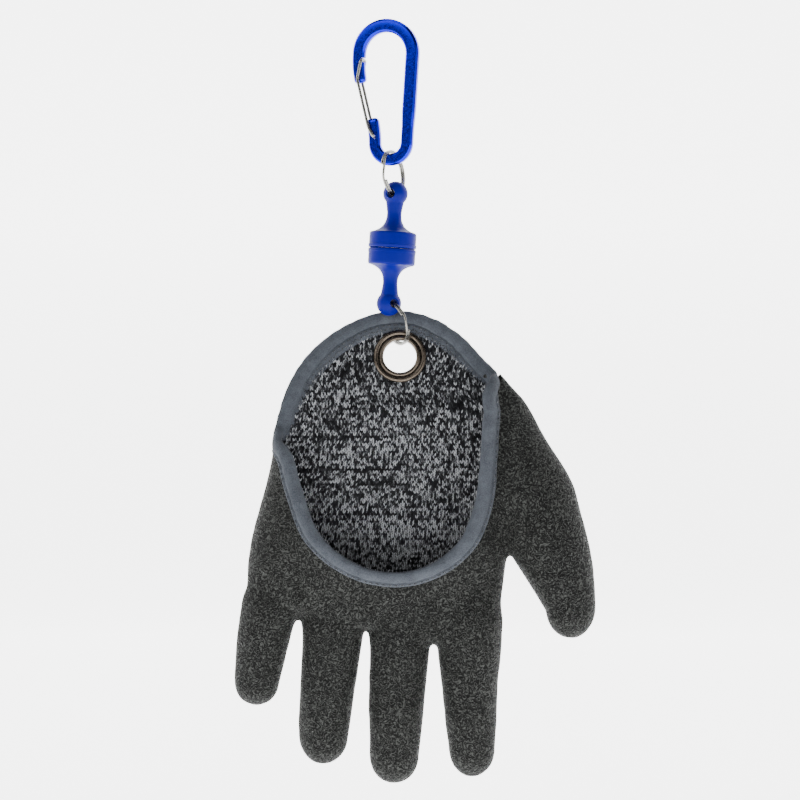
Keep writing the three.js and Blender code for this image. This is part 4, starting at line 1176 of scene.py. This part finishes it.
# a leg of the V: how far it reaches down and up in rows, and out from the column's middle at both ends in wales
LEG_DOWN, LEG_UP, LEG_FOOT, LEG_TOP = 0.75, 0.85, 0.06, 0.44
# shade: noises as (height, stretch, size, seed), random parts per stitch and per leg, painted light by height
SHADE_NOISES = [(0.1, [0.45, 0.4, 1.6], 1.9, 11), (0.08, [0.07, 0.05, 1.0], 5.0, 12)]
STITCH_RANDOM, LEG_RANDOM = 0.2, 0.34
PAINTED_LIGHT_BY_HEIGHT = [-105, -70, -30], [0.14, -0.03, -0.05]
DARK_ROWS, DARK_ROW_DEPTH, DARK_ROW_WIDTH = [-62.0, -78.5, -86.0, -101.0], 0.3, 0.7


def stitch_grid():
    """Angles of the columns, equally far apart at mid height, and heights of the rows."""
    angle = np.linspace(COLUMN_FROM, COLUMN_TO, 2000)
    line = palm_point(angle, np.full(len(angle), COLUMN_HEIGHT), WALL)
    way = lengths_along(line)
    columns = np.interp(np.arange(0, way[-1], WALE_PITCH), way, angle)
    rows = np.arange(ROW_FROM, ROW_TO, -ROW_PITCH)
    return np.meshgrid(columns, rows)


def build_stitches():
    """Two leaning spindles per stitch, on the liner's inside, wherever the mouth leaves it bare."""
    columns, rows = (part.ravel() for part in stitch_grid())
    at = palm_point(columns, rows, WALL)
    nearest = np.argmin(np.linalg.norm(at[:, None] - edge_points[None, ::2], axis=2), axis=1) * 2
    bare = ROLL_WIDTH - ROLL_BEYOND + hem_width(edge_angle[nearest], INNER_HEM) + 0.2
    clear = (rows < edge_height(columns)) & (edge_distance(at) > bare) & (from_eyelet(at) > EYELET_CLEAR)
    columns, rows = columns[clear], rows[clear]
    step = 1e-3
    turn = unit(palm_point(columns + step, rows, WALL) - palm_point(columns, rows, WALL))
    rise = unit(palm_point(columns, rows + step * 20, WALL) - palm_point(columns, rows, WALL))
    lift = unit(np.cross(rise, turn))
    here = shape_skin(palm_point(columns, rows, COAT_WALL + CLOTH_GAP), -lift) + lift * (LINER_WALL + YARN_LIFT)
    jitter = rng.uniform(-STITCH_JITTER, STITCH_JITTER, (2, len(here), 1))
    low = here - rise * ROW_PITCH * LEG_DOWN + turn * jitter[0]
    legs = []
    for lean in (-1, 1):
        high = here + rise * ROW_PITCH * LEG_UP + turn * lean * WALE_PITCH * LEG_TOP + turn * jitter[1]
        legs.append((low + turn * lean * WALE_PITCH * LEG_FOOT, high))
    starts, ends = (np.concatenate(part) for part in zip(*legs))
    lifts = np.concatenate([lift, lift])
    points, faces = spindles(starts + lifts * 0.02, ends + lifts * 0.16, np.full(len(starts), YARN_THICKNESS),
                             lifts)
    made = mesh_object("knit_stitches", points + GLOVE, faces.tolist())
    spots = np.concatenate([here, here])
    noise = sum(height * soft_noise(spots * stretch, size, seed) for height, stretch, size, seed in SHADE_NOISES)
    # painted light: a faint lighter spot on the long wall's inside, where light pools
    light = 0.03 * np.exp(-((spots[:, 0] + 17) / 24) ** 2 - ((spots[:, 2] + 56) / 17) ** 2)
    shade = 0.5 + noise + light + np.tile(rng.uniform(-STITCH_RANDOM, STITCH_RANDOM, len(here)), 2)
    # painted light: stitches lighter low down, where the wall is in shade, and darker high up, where it is lit
    shade += rng.uniform(-LEG_RANDOM, LEG_RANDOM, len(spots)) + np.interp(spots[:, 2], *PAINTED_LIGHT_BY_HEIGHT)
    little_side = np.clip(0.5 - spots[:, 0] / 20, 0, 1)
    for height in DARK_ROWS:
        shade -= DARK_ROW_DEPTH * np.exp(-((spots[:, 2] - height) / DARK_ROW_WIDTH) ** 2) * little_side
    shade_attribute(made, np.repeat(np.clip(shade, 0, 1), 8))
    return made


finish_piece(build_stitches(), "glove", yarn, [])

# %% [markdown]
# ## Bound edge
#
# The tape is folded over the cut edge and sewn through. It reads as a soft roll with a narrow flat hem and a
# row of stitches beside it. A closed oval profile follows the edge in the skin's own directions: how far into
# the glove, and how deep through the wall. Where its two ends lap, the tape is a little thicker.

# %% Roll and hems
LAP_FROM, LAP_TO, LAP_LUMP = np.radians(64), np.radians(71), 0.09
ROLL_STANDS_OFF = 1.45
# lumps round the edge: a beat of two waves and a ripple, as heights and waves per round
BEAT, BEAT_WAVES, RIPPLE, RIPPLE_WAVES = 0.025, (31, 13), 0.02, 57


def edge_rings(distance, inset):
    """Rings round the wall's edge: each profile point is a distance into the glove and an inset."""
    angle, z = edge_place(distance)
    return palm_point(angle, z, inset)


def build_roll():
    """An oval tube round the edge, a little lumpy along its length."""
    shape = oval(ROLL_WIDTH / 2, WALL / 2 + ROLL_STANDS_OFF, 28, 2.1)
    count = len(edge_angle)
    along = np.arange(count) / count * 2 * np.pi
    lumps = (1 + BEAT * np.sin(BEAT_WAVES[0] * along + 0.6) * np.sin(BEAT_WAVES[1] * along)
             + RIPPLE * np.sin(RIPPLE_WAVES * along))
    around = edge_angle % (2 * np.pi)
    lumps[(around > LAP_FROM) & (around < LAP_TO)] += LAP_LUMP
    distance = ROLL_WIDTH / 2 - ROLL_BEYOND + shape[None, :, 0] * lumps[:, None]
    inset = WALL / 2 + shape[None, :, 1] * lumps[:, None]
    points, faces = closed_surface(edge_rings(distance, inset), endless=True)
    return mesh_object("bound_roll", points + GLOVE, faces)


finish_piece(build_roll(), "glove", tape, ["edge_binding"])


def build_hem(name, base_inset, thickness, table):
    """A thin flat band beside the roll, from under it to the given width beyond it."""
    start = ROLL_WIDTH - ROLL_BEYOND - 1.0
    width = 1.0 + hem_width(edge_angle, table)[:, None]
    loop = np.array([[0, 0], [1, 0], [1.03, 0.5], [1, 1], [0.5, 1.15], [0, 1]])
    rings = edge_rings(start + loop[None, :, 0] * width, base_inset + loop[None, :, 1] * thickness)
    points, faces = closed_surface(rings, endless=True)
    if thickness < 0:
        faces = [face[::-1] for face in faces]
    return mesh_object(name, points + GLOVE, faces)


finish_piece(build_hem("outer_hem", 0.1, -0.5, OUTER_HEM), "glove", tape, [])
finish_piece(build_hem("inner_hem", WALL - 0.1, 0.5, INNER_HEM), "glove", tape, [])


# %% Seam stitches
def seam_stitches(name, distance, inset, pitch, length, thickness, zigzag):
    """Short spindles along the edge at a distance into the glove, with a gap between them."""
    line_angle, line_z = (part[:, 0] for part in edge_place(np.full((len(edge_angle), 1), distance)))
    line = palm_point(line_angle, line_z, inset)
    ring = np.concatenate([line, line[:1]])
    way = lengths_along(ring)
    count = int(way[-1] / pitch)
    starts = np.arange(count) * way[-1] / count
    turn, rise = skin_ways(line_angle, line_z)
    out = unit(np.cross(turn, rise)) * (1 if inset < WALL / 2 else -1)

    def along_line(places, values):
        """Values round the line, read at lengths along it."""
        return np.stack([np.interp(places % way[-1], way, values[:, k]) for k in range(3)], axis=-1)

    lift = along_line(starts, np.concatenate([out, out[:1]]))
    begin, finish = along_line(starts, ring), along_line(starts + length, ring)
    if zigzag:
        side = np.cross(unit(finish - begin), lift) * (zigzag * (-1) ** np.arange(count))[:, None]
        begin, finish = begin - side, finish + side
    points, faces = spindles(begin + lift * 0.1, finish + lift * 0.1, np.full(count, thickness), lift, sides=6)
    made = mesh_object(name, points + GLOVE, faces.tolist())
    shade_attribute(made, np.full(len(points), 0.5))
    return made


roll_end = ROLL_WIDTH - ROLL_BEYOND
# name, distance into the glove, inset, pitch, length, thickness, zigzag
SEAMS = [
    ("outer_seam", roll_end + 0.5, -0.5, 3.1, 2.3, 0.5, 0.0),
    ("inner_seam", roll_end + 0.6, WALL + 0.5, 3.1, 2.3, 0.5, 0.0),
    ("inner_hem_stitch", roll_end + 2.6, WALL + 0.5, 2.2, 2.0, 0.55, 0.7),
]
for seam in SEAMS:
    finish_piece(seam_stitches(*seam), "glove", yarn, [])

# %% [markdown]
# ## Eyelet
#
# A rolled metal ring clamps the wall round its hole: a rounded outer rim, a groove and an inner ridge that
# rolls down into the barrel. It is turned about its own axis, which leans with the wall.

# %% Eyelet
EYELET_INNER, EYELET_BARREL, EYELET_FRONT, EYELET_BACK = 8.25, 0.8, 13.25, 12.6
# the ridge and the rim as shares of the flange's width, and their heights above the seat
RIDGE_SHARE, RIM_MIDDLE, RIM_SHARE = 0.22, 0.73, 0.27
FLANGE_RISE, ROLL_MIDDLE, RIDGE_HEIGHT, RIM_HEIGHT = 1.35, 1.15, 1.1, 1.15


def build_eyelet():
    """A closed profile turned round the eyelet's axis. Distances grow towards the back."""
    seat = -(WALL + FIT)
    middle = seat - FLANGE_RISE + ROLL_MIDDLE
    wide = EYELET_FRONT - EYELET_INNER
    inner, outer = (
        np.stack([EYELET_INNER + centre * wide + share * wide * np.cos(angle), middle + height * np.sin(angle)],
                 axis=-1)
        for centre, share, height, angle in (
            (RIDGE_SHARE, RIDGE_SHARE, RIDGE_HEIGHT, np.linspace(np.pi, 2.1 * np.pi, 16)),
            (RIM_MIDDLE, RIM_SHARE, RIM_HEIGHT, np.linspace(0.95 * np.pi, 2 * np.pi, 16))))
    barrel = EYELET_INNER + EYELET_BARREL
    rest = np.array([
        [EYELET_FRONT, seat], [barrel, seat], [barrel, FIT], [EYELET_BACK, FIT], [EYELET_BACK, FIT + 0.45],
        [EYELET_BACK - 0.3, FIT + 0.7], [barrel + 0.6, FIT + 0.8], [EYELET_INNER + 0.3, FIT + 0.7],
        [EYELET_INNER, FIT + 0.3]])
    profile = np.concatenate([inner, outer, rest])
    count = 96
    around = 2 * np.pi * np.arange(count) / count
    side = np.array([1.0, 0, 0])
    out = np.cos(around)[:, None] * side + np.sin(around)[:, None] * eyelet_up
    rings = (EYELET_CENTRE + out[:, None] * profile[None, :, :1]
             + eyelet_axis * profile[None, :, 1:2])
    points, faces = closed_surface(rings, endless=True)
    made = mesh_object("rolled_eyelet", points, faces)
    made.data.set_sharp_from_angle(angle=np.radians(35))
    return made


finish_piece(build_eyelet(), "glove", nickel, ["eyelet"])

# %% [markdown]
# ## Floor, backdrop and light
#
# The stage is one pale sheet: a level floor well under the fingertips that curves up behind into a backdrop. The
# light is large and soft: a key from the upper left, a weaker fill from the right, one from above, and two
# that wash the backdrop.


# %% Stage
def build_stage():
    """A profile of floor, quarter circle and wall, carried across."""
    floor_z, back_y, bend = -450.0, 1900.0, 500.0
    angle = np.linspace(-np.pi / 2, 0, 24)
    curve = np.stack([back_y + bend * np.cos(angle), floor_z + bend + bend * np.sin(angle)], axis=-1)
    line = np.concatenate([[[-4000, floor_z]], curve, [[back_y + bend, 3000]]])
    x = np.array([-4000.0, 4000.0])
    grid = np.stack(np.broadcast_arrays(x[None, :], line[:, None, 0], line[:, None, 1]), axis=-1)
    lower = np.arange(len(line) - 1) * 2
    faces = np.stack([lower, lower + 1, lower + 3, lower + 2], axis=-1)
    made = mesh_object("floor", grid.reshape(-1, 3), faces.tolist())
    material = new_material("pale_floor", Base_Color=(0.93, 0.93, 0.93, 1), Roughness=0.9,
                            Emission_Color=(1, 1, 1, 1), Emission_Strength=3.2)[0]
    made.data.materials.append(material)


def add_light(name, place, target, size, power):
    """A square area light aimed at a point."""
    data = bpy.data.lights.new(name, "AREA")
    data.shape = "SQUARE"
    data.size = size
    data.energy = power
    light = bpy.data.objects.new(name, data)
    way = np.array(target) - np.array(place)
    light.location = place
    light.rotation_euler = (np.arctan2(np.hypot(way[0], way[1]), -way[2]), 0, np.arctan2(-way[0], way[1]))
    bpy.context.scene.collection.objects.link(light)


build_stage()
GLOVE_MIDDLE = (0.0, 0.0, -0.2)
# name, place, target, size, power
LIGHTS = [
    ("key", (-0.9, -1.2, 0.7), GLOVE_MIDDLE, 0.9, 10),
    ("fill", (1.3, -1.0, 0.1), GLOVE_MIDDLE, 0.9, 3),
    ("top", (0.0, 0.1, 1.1), GLOVE_MIDDLE, 0.8, 5),
    ("wash_left", (-1.2, 0.5, 0.6), (0.2, 1.4, -0.1), 1.0, 22),
    ("wash_right", (1.2, 0.5, 0.6), (-0.2, 1.4, -0.1), 1.0, 22),
]
for light in LIGHTS:
    add_light(*light)
world = bpy.context.scene.world or bpy.data.worlds.new("world")
bpy.context.scene.world = world
world.use_nodes = True
sky = world.node_tree.nodes["Background"]
sky.inputs["Color"].default_value = (0.95, 0.97, 1.0, 1)
sky.inputs["Strength"].default_value = 0.14
print("stage and lights are set")
